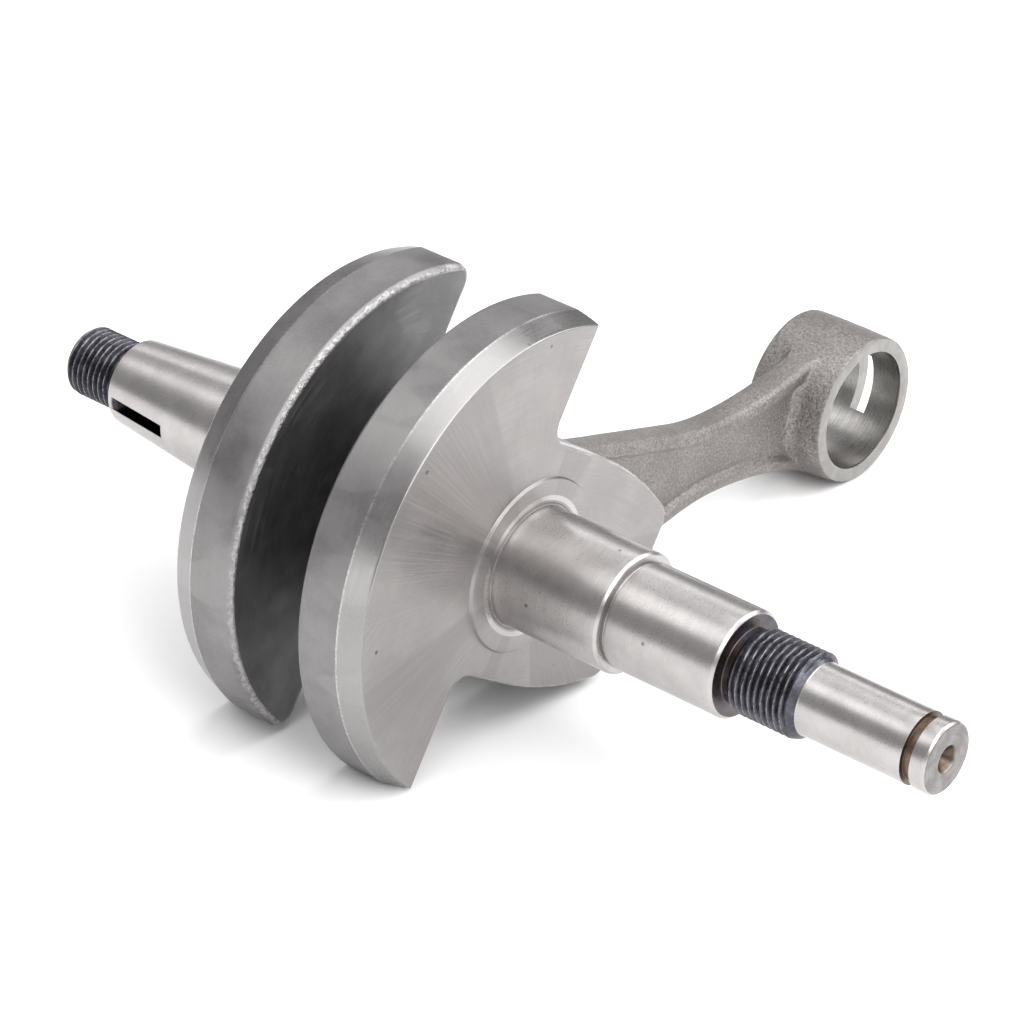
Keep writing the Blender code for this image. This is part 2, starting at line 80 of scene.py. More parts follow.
# The mounts on the shaft's and the small end's faces stand this far above their axes.
SHAFT_MOUNT_RISE = 3.3 * MM
SMALL_END_MOUNT_RISE = 10.0 * MM

PIN_AXIS = joint_point("rod_swing")
SHAFT_AXIS = mount_point("drive_end_face") - (0.0, 0.0, SHAFT_MOUNT_RISE)
SHAFT_AXIS[0] = PIN_AXIS[0]
SMALL_AXIS = mount_point("small_end_face_drive_side") - (0.0, 0.0, SMALL_END_MOUNT_RISE)
SMALL_AXIS[0] = PIN_AXIS[0]
CRANK_TURN = math.atan2(*(PIN_AXIS - SHAFT_AXIS)[[2, 1]])
ROD_TURN = math.atan2(*(SMALL_AXIS - PIN_AXIS)[[2, 1]])
THROW = float(np.linalg.norm(PIN_AXIS - SHAFT_AXIS))
ROD_LENGTH = float(np.linalg.norm(SMALL_AXIS - PIN_AXIS))
DRIVE_END = float(mount_point("drive_end_face")[0] - PIN_AXIS[0])
FLYWHEEL_END = float(PIN_AXIS[0] - mount_point("flywheel_end_face")[0])
SMALL_END_HALF = float(mount_point("small_end_face_drive_side")[0] - PIN_AXIS[0])


def length(default_mm, name, description):
    return FloatProperty(
        name=name, description=description, default=default_mm * MM, unit="LENGTH", precision=5
    )


def colour(default, name, description):
    return FloatVectorProperty(
        name=name, description=description, default=default, subtype="COLOR", size=3, min=0, max=1
    )


class WebSizes(bpy.types.PropertyGroup):
    """The counterweighted web of either crank half, measured from the middle plane."""

    inner: length(5.72, "Inner face", "Middle plane to the web's inner face")
    outer: length(16.14, "Outer face", "Middle plane to the web's outer face")
    bevel_start: length(12.65, "Bevel start", "Middle plane to where the rim's bevel begins")
    rim_radius: length(34.4, "Rim radius", "Radius of the counterweight's rim")
    face_radius: length(33.3, "Face radius", "Radius where the bevel meets the outer face")
    boss_radius: length(12.3, "Boss radius", "Radius of the raised boss round the shaft")
    boss_face: length(16.6, "Boss face", "Middle plane to the boss's face")
    flank_back: length(6.3, "Flank", "Shaft axis back to the counterweight's straight flank")
    flank_fillet: length(3.0, "Flank fillet", "Radius between the flank and the lobe")
    drive_tip: length(1.25, "Drive tip radius", "Radius of the drive half's tips")
    flywheel_tip: length(2.6, "Flywheel tip radius", "Radius of the flywheel half's tips")
    lobe_half_width: length(16.4, "Lobe half width", "Half the width of the crankpin lobe")
    lobe_side_start: length(6.0, "Lobe side start", "Where the lobe's sides start to curve in")
    lobe_side_radius: length(53.0, "Lobe side radius", "Radius of the lobe's curved sides")
    lobe_end: length(27.4, "Lobe end", "Shaft axis to the flat end of the lobe")
    lobe_fillet: length(3.0, "Lobe corner radius", "Radius of the lobe's two corners")
    pin_hole: length(6.06, "Pin hole radius", "Radius of the hole that holds the crankpin")
    pin_hole_depth: length(13.5, "Pin hole floor", "Middle plane to the floor of the pin hole")


class ShaftSizes(bpy.types.PropertyGroup):
    """Both ends of the main shaft, measured from the middle plane."""

    bearing_radius: length(8.5, "Bearing seat radius", "Radius of the main bearing seats")
    clutch_radius: length(7.5, "Clutch seat radius", "Radius of the clutch seat")
    clutch_start: length(34.7, "Clutch seat start", "Middle plane to the clutch seat")
    clutch_end: length(51.94, "Clutch seat end", "Middle plane to the clutch seat's end")
    drive_thread_radius: length(6.0, "Drive thread radius", "Crest radius of the drive thread")
    drive_thread_start: length(53.6, "Drive thread start", "Where the drive thread begins")
    drive_thread_end: length(63.4, "Drive thread end", "Where the drive thread ends")
    tail_radius: length(5.0, "Tail radius", "Radius of the drive end's tail")
    groove_start: length(79.5, "Clip groove start", "Near side of the circlip groove")
    groove_end: length(80.9, "Clip groove end", "Far side of the circlip groove")
    groove_radius: length(4.3, "Clip groove radius", "Radius at the circlip groove's floor")
    taper_start: length(32.8, "Taper start", "Middle plane to the flywheel taper")
    taper_end: length(55.6, "Taper end", "Middle plane to the taper's small end")
    taper_radius: length(6.3, "Taper end radius", "Radius at the taper's small end")
    fly_thread_radius: length(5.1, "Flywheel thread radius", "Crest radius of that thread")
    thread_pitch: length(1.0, "Thread pitch", "Pitch of both threads")
    thread_depth: length(0.6, "Thread depth", "Crest to root of both threads")
    centre_radius: length(1.95, "Centre radius", "Mouth radius of the lathe centres")
    key_width: length(2.0, "Key width", "Width of the key seat")
    key_depth: length(2.9, "Key depth", "Depth of the key seat at its middle")
    key_cutter: length(5.5, "Key cutter radius", "Radius of the key seat's round floor")
    key_middle: length(49.35, "Key middle", "Middle plane to the key seat's middle")
    key_angle: FloatProperty(
        name="Key angle",
        description="Turn from the crankpin's direction to the key seat",
        default=math.radians(217.3),
        subtype="ANGLE",
    )


class RodSizes(bpy.types.PropertyGroup):
    """The connecting rod, with lengths along it measured from the crankpin."""

    big_radius: length(13.85, "Big end radius", "Outer radius of the big end")
    big_bore: length(9.1, "Big end bore", "Radius of the big end's bore")
    big_half: length(4.52, "Big end half width", "Half the big end's width along the shaft")
    small_radius: length(11.35, "Small end radius", "Outer radius of the small end")
    small_bore: length(9.17, "Small end bore", "Radius of the small end's bore")
    waist_at: length(43.0, "Waist", "Crankpin to the narrowest part of the shank")
    waist_half: length(5.75, "Waist half width", "Half the shank's width at its waist")
    flank_curve: length(40.0, "Flank curve", "Radius from the waist to the straight flank")
    flange_half: length(2.45, "Flange half thickness", "Mid plane to the top of a flange")
    floor_half: length(1.25, "Recess floor", "Mid plane to the floor of the recess")
    flange_width: length(2.1, "Flange width", "Width of a flange's top")
    slot_low: length(-1.0, "Oil slot lower side", "Mid plane to the oil slot's near side")
    slot_high: length(1.6, "Oil slot upper side", "Mid plane to the oil slot's far side")
    slot_reach: FloatProperty(
        name="Oil slot reach",
        description="Angle of the oil slot to each side of the rod's tip",
        default=math.radians(31),
        subtype="ANGLE",
    )


class BearingSizes(bpy.types.PropertyGroup):
    """The crankpin, its needle cage and the thrust washers."""

    pin_radius: length(6.0, "Crankpin radius", "Radius of the crankpin")
    pin_half: length(13.2, "Crankpin half length", "Half the crankpin's length")
    roller_radius: length(1.25, "Roller radius", "Radius of a needle roller")
    roller_half: length(3.2, "Roller half length", "Half a needle roller's length")
    orbit: length(7.55, "Roller orbit", "Crankpin axis to a roller's axis")
    cage_inner: length(6.5, "Cage bore", "Inner radius of the needle cage")
    cage_outer: length(8.6, "Cage radius", "Outer radius of the needle cage")
    cage_half: length(4.2, "Cage half length", "Half the needle cage's length")
    pocket_gap: length(0.3, "Pocket clearance", "Gap round a roller in its pocket")
    washer_inner: length(6.35, "Washer bore", "Inner radius of a thrust washer")
    washer_outer: length(10.5, "Washer radius", "Outer radius of a thrust washer")
    washer_near: length(4.82, "Washer near face", "Mid plane to a washer's near face")
    washer_far: length(5.42, "Washer far face", "Mid plane to a washer's far face")
    rollers: IntProperty(name="Rollers", description="Number of needle rollers", default=13)


class Colours(bpy.types.PropertyGroup):
    """The colours of the steels and of the floor."""

    ground: colour((0.46, 0.44, 0.435), "Ground steel", "Bearing seats, taper and tail")
    turned: colour((0.325, 0.31, 0.305), "Turned steel", "Outer faces of the webs")
    rim: colour((0.24, 0.232, 0.232), "Rim steel", "Rims of the counterweights")
    # The inner faces' dark colour paints the shade in the narrow gap between the webs.
    inner: colour((0.18, 0.178, 0.18), "Inner web steel", "Inner faces of the webs")
    oxide: colour((0.085, 0.085, 0.10), "Dark oxide", "Threads and necks")
    tint: colour((0.11, 0.075, 0.055), "Heat tint", "Brown tint of the reliefs")
    forged: colour((0.295, 0.275, 0.265), "Blasted forging", "Skin of the connecting rod")
    machined: colour((0.33, 0.32, 0.31), "Machined forging", "Small end faces and bores")
    bearing: colour((0.70, 0.70, 0.71), "Bearing steel", "Crankpin and rollers")
    cage: colour((0.50, 0.47, 0.43), "Cage steel", "Needle cage and thrust washers")
    floor: colour((0.93, 0.93, 0.93), "Floor", "The plain floor")


class StageSettings(bpy.types.PropertyGroup):
    """The camera and the lights."""

    camera_at: FloatVectorProperty(
        name="Camera place",
        description="Where the camera stands",
        default=(0.31665, -0.42871, 0.31274),
        subtype="TRANSLATION",
        precision=5,
    )
    camera_turn: FloatVectorProperty(
        name="Camera turn",
        description="How the camera is turned",
        default=tuple(math.radians(a) for a in (60.8178, -3.1618, 40.1377)),
        subtype="EULER",
        precision=5,
    )
    camera_lens: FloatProperty(
        name="Focal length", description="In millimetres, on a 36 mm sensor", default=154.77
    )
    sky: FloatProperty(name="Sky strength", description="Strength of the soft room", default=1.0)


# ---------------------------------------------------------------- surfaces

# An eased corner takes up no more than this part of a side next to it.
LONGEST_REACH = 0.45


def arc(centre, radius, start_deg, end_deg, steps):
    """Points on a circle: the centre plus the radius times (cos, sin) of evenly spaced angles."""
    angle = np.radians(np.linspace(start_deg, end_deg, steps + 1))
    return np.stack([centre[0] + radius * np.cos(angle), centre[1] + radius * np.sin(angle)], 1)


def spaced(points, steps):
    """Evenly spaced points along a polyline by interpolation over its running length, without the
    last one."""
    points = np.asarray(points, float)
    run = np.concatenate([[0.0], np.cumsum(np.linalg.norm(np.diff(points, axis=0), axis=1))])
    at = np.linspace(0.0, run[-1], steps + 1)[:-1]
    return np.stack([np.interp(at, run, points[:, k]) for k in (0, 1)], 1)


def eased(profile, steps=4):
    """A profile of (x, radius, reach) corners with each corner eased: the corner is replaced by
    the quadratic curve (1-t)^2 A + 2t(1-t) P + t^2 B, whose ends A and B lie the reach away from
    the corner P on its two sides. A reach of nothing leaves the corner sharp."""
    profile = np.asarray(profile, float)
    point, reach = profile[:, :2], profile[:, 2:]
    side = np.diff(point, axis=0)
    size = np.linalg.norm(side, axis=1, keepdims=True)
    side = side / size
    shorter = np.minimum(np.vstack([size, size[-1:]]), np.vstack([size[:1], size]))
    reach = np.minimum(reach, LONGEST_REACH * shorter)
    before = point - reach * np.vstack([side[:1], side])
    after = point + reach * np.vstack([side, side[-1:]])
    before[0], after[-1] = point[0], point[-1]
    t = np.linspace(0.0, 1.0, steps + 1)[None, :, None]
    ends = (1 - t) ** 2 * before[:, None], t**2 * after[:, None]
    curve = (ends[0] + 2 * t * (1 - t) * point[:, None] + ends[1]).reshape(-1, 2)
    apart = np.linalg.norm(np.diff(curve, axis=0), axis=1) > 1e-7
    return curve[np.concatenate([[True], apart])]


def divided(profile, longest):
    """The profile with points added evenly on every side that is longer than the given length."""
    step = np.linalg.norm(np.diff(profile, axis=0), axis=1)
    count = np.maximum(np.ceil(step / longest).astype(int), 1)
    start = np.repeat(np.cumsum(count) - count, count)
    part = (np.arange(count.sum()) - start) / np.repeat(count, count)
    base = np.repeat(np.arange(len(count)), count)
    inner = profile[base] + part[:, None] * (profile[base + 1] - profile[base])
    return np.vstack([inner, profile[-1:]])


def turned_grid(profile, columns):
    """Rows of (x, radius) swept round X: (x, radius cos a, radius sin a) for even angles a."""
    angle = np.arange(columns) * TURN / columns
    x, radius = profile[:, :1], profile[:, 1:2]
    return np.stack(
        [x + 0 * angle, radius * np.cos(angle)[None], radius * np.sin(angle)[None]], 2
    )


def placed(points, centre, turn):
    """Local (x, out, across) points turned about X and moved to their axis."""
    out, across = points[..., 1], points[..., 2]
    cos, sin = math.cos(turn), math.sin(turn)
    return np.stack(
        [
            centre[0] + points[..., 0],
            centre[1] + out * cos - across * sin,
            centre[2] + out * sin + across * cos,
        ],
        -1,
    )


def grid_faces(rows, columns, wrap):
    """Quads between neighbouring rows and columns of a grid, as index arrays."""
    index = np.arange(rows * columns).reshape(rows, columns)
    beside = np.roll(index, -1, 1) if wrap else index[:, 1:]
    index = index if wrap else index[:, :-1]
    quads = np.stack([index[:-1], beside[:-1], beside[1:], index[1:]], -1)
    return quads.reshape(-1, 4)


class Shell:
    """Collects grids into one welded mesh."""

    def __init__(self):
        self.points, self.faces, self.slots, self.count = [], [], [], 0

    def add(self, grid, slot=0, wrap=False, keep=None):
        """A grid of points. slot is one material number, or one for each row of faces. keep marks
        the faces to make."""
        rows, columns = grid.shape[:2]
        quads = grid_faces(rows, columns, wrap)
        per_row = len(quads) // (rows - 1)
        slot = np.repeat(np.broadcast_to(slot, rows - 1), per_row)
        if keep is not None:
            quads, slot = quads[keep.ravel()], slot[keep.ravel()]
        self.points.append(grid.reshape(-1, 3))
        self.faces.append(quads + self.count)
        self.slots.append(slot)
        self.count += rows * columns

    def mesh(self, name, materials, smooth_deg, place):
        """The collected grids moved to their place, welded where they meet, with their faces
        turned outwards."""
        mesh = bpy.data.meshes.new(name)
        points = placed(np.concatenate(self.points), *place)
        faces = np.concatenate(self.faces)
        mesh.from_pydata(points, [], faces.tolist())
        mesh.polygons.foreach_set("material_index", np.concatenate(self.slots).astype(np.int32))
        for material in materials:
            mesh.materials.append(material)
        shape = bmesh.new()
        shape.from_mesh(mesh)
        bmesh.ops.remove_doubles(shape, verts=shape.verts, dist=WELD)
        bmesh.ops.dissolve_degenerate(shape, edges=shape.edges, dist=WELD / 4)
        loose = [edge for edge in shape.edges if not edge.is_manifold]
        if loose:
            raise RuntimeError(f"{name} is open or pinched at {len(loose)} edges")
        bmesh.ops.recalc_face_normals(shape, faces=shape.faces)
        if shape.calc_volume(signed=True) < 0:
            bmesh.ops.reverse_faces(shape, faces=shape.faces)
        shape.to_mesh(mesh)
        shape.free()
        mesh.shade_smooth()
        mesh.set_sharp_from_angle(angle=math.radians(smooth_deg))
        mesh.update()
        return mesh


def finished(name, mesh, body, nodes):
    """The mesh as an object that rides on its body and stands for its CAD nodes."""
    obj = bpy.data.objects.new(name, mesh)
    bpy.context.scene.collection.objects.link(obj)
    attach(obj, body)
    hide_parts(*nodes)
    return obj


# ---------------------------------------------------------------- crank halves

LOBE_END_STEPS, CORNER_STEPS, SIDE_STEPS, FILLET_STEPS = 14, 16, 46, 24
FLANK_STEPS, TIP_STEPS, RIM_STEPS = 6, 7, 38
HALF_COLUMNS = 151
COLUMNS = 2 * HALF_COLUMNS


def web_outline(web, tip_radius):
    """The web's closed outline as (out, across): the lobe's flat end, its corner and curved side,
    the concave fillet, the straight flank, the tip and the rim, then the same mirrored."""
    side_centre = np.array([web.lobe_side_start, web.lobe_half_width - web.lobe_side_radius])
    corner_out = web.lobe_end - web.lobe_fillet
    reach = web.lobe_side_radius - web.lobe_fillet
    corner_across = side_centre[1] + math.sqrt(reach**2 - (corner_out - side_centre[0]) ** 2)
    meet = math.degrees(math.acos((corner_out - side_centre[0]) / reach))
    tip_out = -web.flank_back - tip_radius
    tip_across = math.sqrt((web.rim_radius - tip_radius) ** 2 - tip_out**2)
    tip_meet = math.degrees(math.atan2(tip_across, tip_out))
    fillet_at = (-web.flank_back + web.flank_fillet, web.lobe_half_width + web.flank_fillet)
    corner = arc((corner_out, corner_across), web.lobe_fillet, 0, meet, 40)
    side = arc(side_centre, web.lobe_side_radius, meet, 90, 40)
    fillet = arc(fillet_at, web.flank_fillet, 270, 180, 40)
    tip = arc((tip_out, tip_across), tip_radius, 0, tip_meet, 40)
    rim = arc((0, 0), web.rim_radius, tip_meet, 180, 400)
    half = np.vstack(
        [
            spaced([[web.lobe_end, 0.0], corner[0]], LOBE_END_STEPS),
            spaced(corner, CORNER_STEPS),
            spaced(np.vstack([side, fillet[:1]]), SIDE_STEPS),
            spaced(fillet, FILLET_STEPS),
            spaced([fillet[-1], tip[0]], FLANK_STEPS),
            spaced(tip, TIP_STEPS),
            spaced(rim, RIM_STEPS),
            [[-web.rim_radius, 0.0]],
        ]
    )
    return np.vstack([half, (half * (1, -1))[-2:0:-1]])


def web_rows(web):
    """Rows of (x, inset, radius limit) from the inner face over the rim to the outer face."""
    inner, outer, start = web.inner, web.outer, web.bevel_start
    rim, face = web.rim_radius, web.face_radius
    bevel = lambda x: rim - (x - start) * (rim - face) / (outer - start)
    rows = [
        (inner, 0.50 * MM, rim - 1.00 * MM),
        (inner + 0.02 * MM, 0.28 * MM, rim - 0.78 * MM),
        (inner + 0.10 * MM, 0.12 * MM, rim - 0.62 * MM),
        (inner + 0.50 * MM, 0.02 * MM, rim - 0.18 * MM),
        (inner + 0.62 * MM, 0.0, rim - 0.05 * MM),
        (inner + 0.80 * MM, 0.0, rim),
    ]
    rows += [(x, 0.0, rim) for x in np.linspace(inner + 1.0 * MM, start - 0.3 * MM, 8)]
    rows += [(start - 0.07 * MM, 0.0, rim), (start + 0.07 * MM, 0.0, bevel(start + 0.07 * MM))]
    rows += [(x, 0.0, bevel(x)) for x in np.linspace(start + 0.3 * MM, outer - 0.3 * MM, 6)]
    rows += [
        (outer - 0.16 * MM, 0.02 * MM, bevel(outer - 0.16 * MM) - 0.01 * MM),
        (outer - 0.05 * MM, 0.09 * MM, bevel(outer) - 0.03 * MM),
        (outer - 0.01 * MM, 0.18 * MM, bevel(outer) - 0.11 * MM),
        (outer, 0.32 * MM, bevel(outer) - 0.25 * MM),
    ]
    return np.array(rows)


def web_loops(outline, rows):
    """The outline moved inwards along its own normal by each row's inset, then pulled in towards
    the shaft where it would pass the row's radius limit."""
    tangent = np.roll(outline, -1, 0) - np.roll(outline, 1, 0)
    inward = np.stack([-tangent[:, 1], tangent[:, 0]], 1)
    inward /= np.linalg.norm(inward, axis=1, keepdims=True)
    loops = outline[None] + rows[:, 1, None, None] * inward[None]
    radius = np.linalg.norm(loops, axis=2, keepdims=True)
    loops = loops * np.minimum(1.0, rows[:, 2, None, None] / radius)
    return np.concatenate([np.broadcast_to(rows[:, :1, None], loops[..., :1].shape), loops], 2)


def blended(first, last, parts):
    """Loops between two loops, at the given parts of the way in a straight line."""
    parts = np.asarray(parts)[:, None, None]
    return first[None] * (1 - parts) + last[None] * parts


def circle_loop(x, centre_out, radius, angle):
    return np.stack(
        [x + 0 * angle, centre_out + radius * np.cos(angle), radius * np.sin(angle)], 1
    )


def pin_side_rows(web, face_loop):
    """The blind pin hole from the middle of its floor to its mouth, then the inner face out to the
    web's edge by way of an ellipse that lies round the hole and inside the lobe. Each loop's
    points lie on rays from the hole's centre, or from a point behind the shaft."""
    behind = -10.0 * MM
    middle, long_axis, short_axis = 7.5 * MM, 19.1 * MM, 15.5 * MM
    ray = face_loop[:, 1:] - (behind, 0.0)
    ray /= np.linalg.norm(ray, axis=1, keepdims=True)
    # Where the ray behind + k ray meets the ellipse: a quadratic in k.
    offset = behind - middle
    a = (ray[:, 0] / long_axis) ** 2 + (ray[:, 1] / short_axis) ** 2
    b = 2 * offset * ray[:, 0] / long_axis**2
    c = (offset / long_axis) ** 2 - 1
    k = (-b + np.sqrt(b**2 - 4 * a * c)) / (2 * a)
    ellipse = np.column_stack([np.full(len(k), web.inner), behind + k * ray[:, 0], k * ray[:, 1]])
    angle = np.arctan2(ellipse[:, 2], ellipse[:, 1] - THROW)
    floor, mouth, hole = web.pin_hole_depth, web.inner, web.pin_hole
    ring = [
        (floor, 0.0),
        (floor, hole * 0.5),
        (floor, hole - 0.1 * MM),
        (floor - 0.1 * MM, hole),
        (floor - 3.0 * MM, hole),
        (mouth + 0.35 * MM, hole),
        (mouth + 0.02 * MM, hole + 0.33 * MM),
        (mouth, hole + 0.40 * MM),
    ]
    loops = [circle_loop(x, THROW, radius, angle) for x, radius in ring]
    between = blended(loops[-1], ellipse, (0.2, 0.5, 0.8, 1.0))
    beyond = blended(ellipse, face_loop, (0.1, 0.3, 0.5, 0.7, 0.9))
    return np.concatenate([np.stack(loops), between, beyond])


def boss_rows(web, face_loop, angle):
    """Straight lines from the web's edge to the boss's foot, over its edge and across its face."""
    radius = web.boss_radius
    foot = circle_loop(web.outer, 0.0, radius + 0.35 * MM, angle)
    edge = [
        (web.outer + 0.03 * MM, radius + 0.12 * MM),
        (web.outer + 0.14 * MM, radius + 0.02 * MM),
        (web.boss_face - 0.12 * MM, radius - 0.02 * MM),
        (web.boss_face - 0.03 * MM, radius - 0.10 * MM),
        (web.boss_face, radius - 0.22 * MM),
    ]
    loops = [circle_loop(x, 0.0, r, angle) for x, r in edge]
    across = blended(face_loop, foot, (0.04, 0.12, 0.3, 0.5, 0.7, 0.85, 0.95, 1.0))
    return np.concatenate([across, np.stack(loops)])


def centre_hole(end, mouth):
    """A lathe centre: a 60 degree cone, a drilled pilot and its tip."""
    pilot = 0.8 * MM
    cone = (mouth - pilot) / math.tan(math.radians(30))
    return [
        (end, mouth, 0.08 * MM),
        (end - cone, pilot, 0.1 * MM),
        (end - cone - 2.2 * MM, pilot, 0.05 * MM),
        (end - cone - 2.7 * MM, 0.0, 0.0),
    ]


def drive_profile(web, shaft):
    """(x, radius, easing) from the boss to the middle of the drive end's centre hole."""
    bearing, clutch, tail = shaft.bearing_radius, shaft.clutch_radius, shaft.tail_radius
    thread, neck = shaft.drive_thread_radius, shaft.drive_thread_radius - 0.75 * MM
    start = shaft.clutch_start
    return [
        (web.boss_face, bearing + 0.75 * MM, 0.0),
        (web.boss_face, bearing + 0.45 * MM, 0.0),
        (web.boss_face - 0.12 * MM, bearing + 0.30 * MM, 0.08 * MM),
        (web.boss_face - 0.12 * MM, bearing, 0.12 * MM),
        (start - 1.05 * MM, bearing, 0.04 * MM),
        (start - 0.68 * MM, bearing - 0.32 * MM, 0.04 * MM),
        (start - 0.62 * MM, clutch + 0.10 * MM, 0.05 * MM),
        (start - 0.55 * MM, clutch - 0.42 * MM, 0.08 * MM),
        (start - 0.22 * MM, clutch - 0.42 * MM, 0.08 * MM),
        (start - 0.12 * MM, clutch - 0.12 * MM, 0.04 * MM),
        (start + 0.06 * MM, clutch, 0.04 * MM),
        (shaft.clutch_end - 0.42 * MM, clutch, 0.08 * MM),
        (shaft.clutch_end, clutch - 0.42 * MM, 0.08 * MM),
        (shaft.clutch_end, neck + 0.3 * MM, 0.0),
        (shaft.clutch_end + 0.1 * MM, neck, 0.25 * MM),
        (shaft.drive_thread_start - 0.65 * MM, neck, 0.1 * MM),
        (shaft.drive_thread_start + 0.1 * MM, thread, 0.05 * MM),
        (shaft.drive_thread_end - 1.0 * MM, thread, 0.05 * MM),
        (shaft.drive_thread_end - 0.05 * MM, tail + 0.08 * MM, 0.06 * MM),
        (shaft.drive_thread_end + 0.15 * MM, tail, 0.05 * MM),
        (shaft.groove_start, tail, 0.04 * MM),
        (shaft.groove_start, shaft.groove_radius, 0.08 * MM),
        (shaft.groove_end, shaft.groove_radius, 0.08 * MM),
        (shaft.groove_end, tail, 0.04 * MM),
        (DRIVE_END - 0.38 * MM, tail, 0.12 * MM),
        (DRIVE_END, tail - 0.36 * MM, 0.12 * MM),
    ] + centre_hole(DRIVE_END, shaft.centre_radius)


def flywheel_profile(web, shaft):
    """(x, radius, easing) from the boss to the middle of the flywheel end's centre hole."""
    bearing, taper = shaft.bearing_radius, shaft.taper_radius
    thread, neck = shaft.fly_thread_radius, shaft.fly_thread_radius - 0.62 * MM
    return [
        (web.boss_face, bearing + 0.75 * MM, 0.0),
        (web.boss_face, bearing + 0.45 * MM, 0.0),
        (web.boss_face - 0.12 * MM, bearing + 0.30 * MM, 0.08 * MM),
        (web.boss_face - 0.12 * MM, bearing, 0.12 * MM),
        (shaft.taper_start, bearing, 0.4 * MM),
        (shaft.taper_end - 0.2 * MM, taper, 0.1 * MM),
        (shaft.taper_end, taper - 0.2 * MM, 0.08 * MM),
        (shaft.taper_end, neck + 0.25 * MM, 0.0),
        (shaft.taper_end + 0.1 * MM, neck, 0.2 * MM),
        (shaft.taper_end + 0.75 * MM, neck, 0.1 * MM),
        (shaft.taper_end + 1.3 * MM, thread, 0.05 * MM),
        (FLYWHEEL_END - 0.75 * MM, thread, 0.05 * MM),
        (FLYWHEEL_END, thread - 0.62 * MM, 0.1 * MM),
    ] + centre_hole(FLYWHEEL_END, shaft.centre_radius)


def with_rows(profile, start, end, step):
    """The profile with its rows between two places on the shaft replaced by evenly spaced ones on
    the same line, for a thread or a key seat."""
    outside = profile[: np.argmax(profile[:, 0]) + 1, 0]
    inside = np.flatnonzero((outside >= start) & (outside <= end))
    first, last = inside[0], inside[-1]
    stretch = profile[first : last + 1]
    x = np.linspace(stretch[0, 0], stretch[-1, 0], int((end - start) / step) + 1)
    even = np.column_stack([x, np.interp(x, stretch[:, 0], stretch[:, 1])])
    return np.vstack([profile[:first], even, profile[last + 1 :]])


def shaft_angles(radius, shaft, key):
    """Each row's column angles. Without a key seat they are even. With one, nine columns stand at
    set distances from the seat's middle, at asin(distance / radius), and the others share the rest
    of the turn evenly."""
    column = np.arange(COLUMNS)
    if not key:
        return np.broadcast_to(column * TURN / COLUMNS, (len(radius), COLUMNS))
    middle = round(shaft.key_angle / TURN * COLUMNS)
    away = (column - middle + HALF_COLUMNS) % COLUMNS - HALF_COLUMNS
    half = shaft.key_width / 2
    marks = half * np.array([0.0, 0.35, 0.7, 0.985, 1.015])
    size = np.maximum(radius[:, None], half * 1.4)
    edge = np.arcsin(marks[-1] / size)
    near = np.arcsin(np.interp(np.abs(away), np.arange(5), marks)[None] / size)
    far = edge + (math.pi - edge) * (np.abs(away)[None] - 4) / (HALF_COLUMNS - 4)
    turn = np.where(np.abs(away)[None] <= 4, near, far) * np.sign(away)
    return shaft.key_angle + turn


def thread_radius(x, angle, crest, start, shaft):
    """The crest less the depth times an even triangle wave of x / pitch - angle / turn, with its
    crests and roots slightly flattened."""
    phase = ((x - start) / shaft.thread_pitch - angle / TURN) % 1.0
    wave = np.abs(2 * phase - 1)
    wave = np.clip((wave - 0.09) / 0.80, 0.0, 1.0)
    wave = wave * wave * (3 - 2 * wave) * 0.35 + wave * 0.65
    return crest - shaft.thread_depth * wave


def shaft_rows(profile, shaft, thread, key):
    """The shaft's grid: the profile turned, cut by the thread where it passes the thread's own
    radius, and sunk to the disc cutter's arc inside the key seat."""
    x, radius = profile[:, :1], profile[:, 1:2]
    angle = shaft_angles(profile[:, 1], shaft, key)
    crest, start, end = thread
    cut = thread_radius(x, angle, crest, start, shaft)
    in_thread = (x > start - 0.1 * MM) & (x < end)
    r = np.where(in_thread, np.minimum(radius, cut), radius + 0 * angle)
    height, aside = r * np.cos(angle - shaft.key_angle), r * np.sin(angle - shaft.key_angle)
    if key:
        slope = (shaft.bearing_radius - shaft.taper_radius) / (shaft.taper_end - shaft.taper_start)
        surface = shaft.bearing_radius - slope * (shaft.key_middle - shaft.taper_start)
        centre = surface + shaft.key_cutter - shaft.key_depth
        reach = np.clip(shaft.key_cutter**2 - (x - shaft.key_middle) ** 2, 0, None)
        floor = np.where(reach > 0, centre - np.sqrt(reach), 1.0)
        seat = (np.abs(aside) < shaft.key_width / 2) & (height > 0) & (x > shaft.taper_start)
        seat &= x < shaft.taper_end - 0.5 * MM
        height = np.where(seat, np.minimum(height, floor), height)
    cos, sin = math.cos(shaft.key_angle), math.sin(shaft.key_angle)
    out, across = height * cos - aside * sin, height * sin + aside * cos
    return np.stack([x + 0 * angle, out, across], 2)


INNER, RIM, FACE, GROUND, OXIDE, END = range(6)


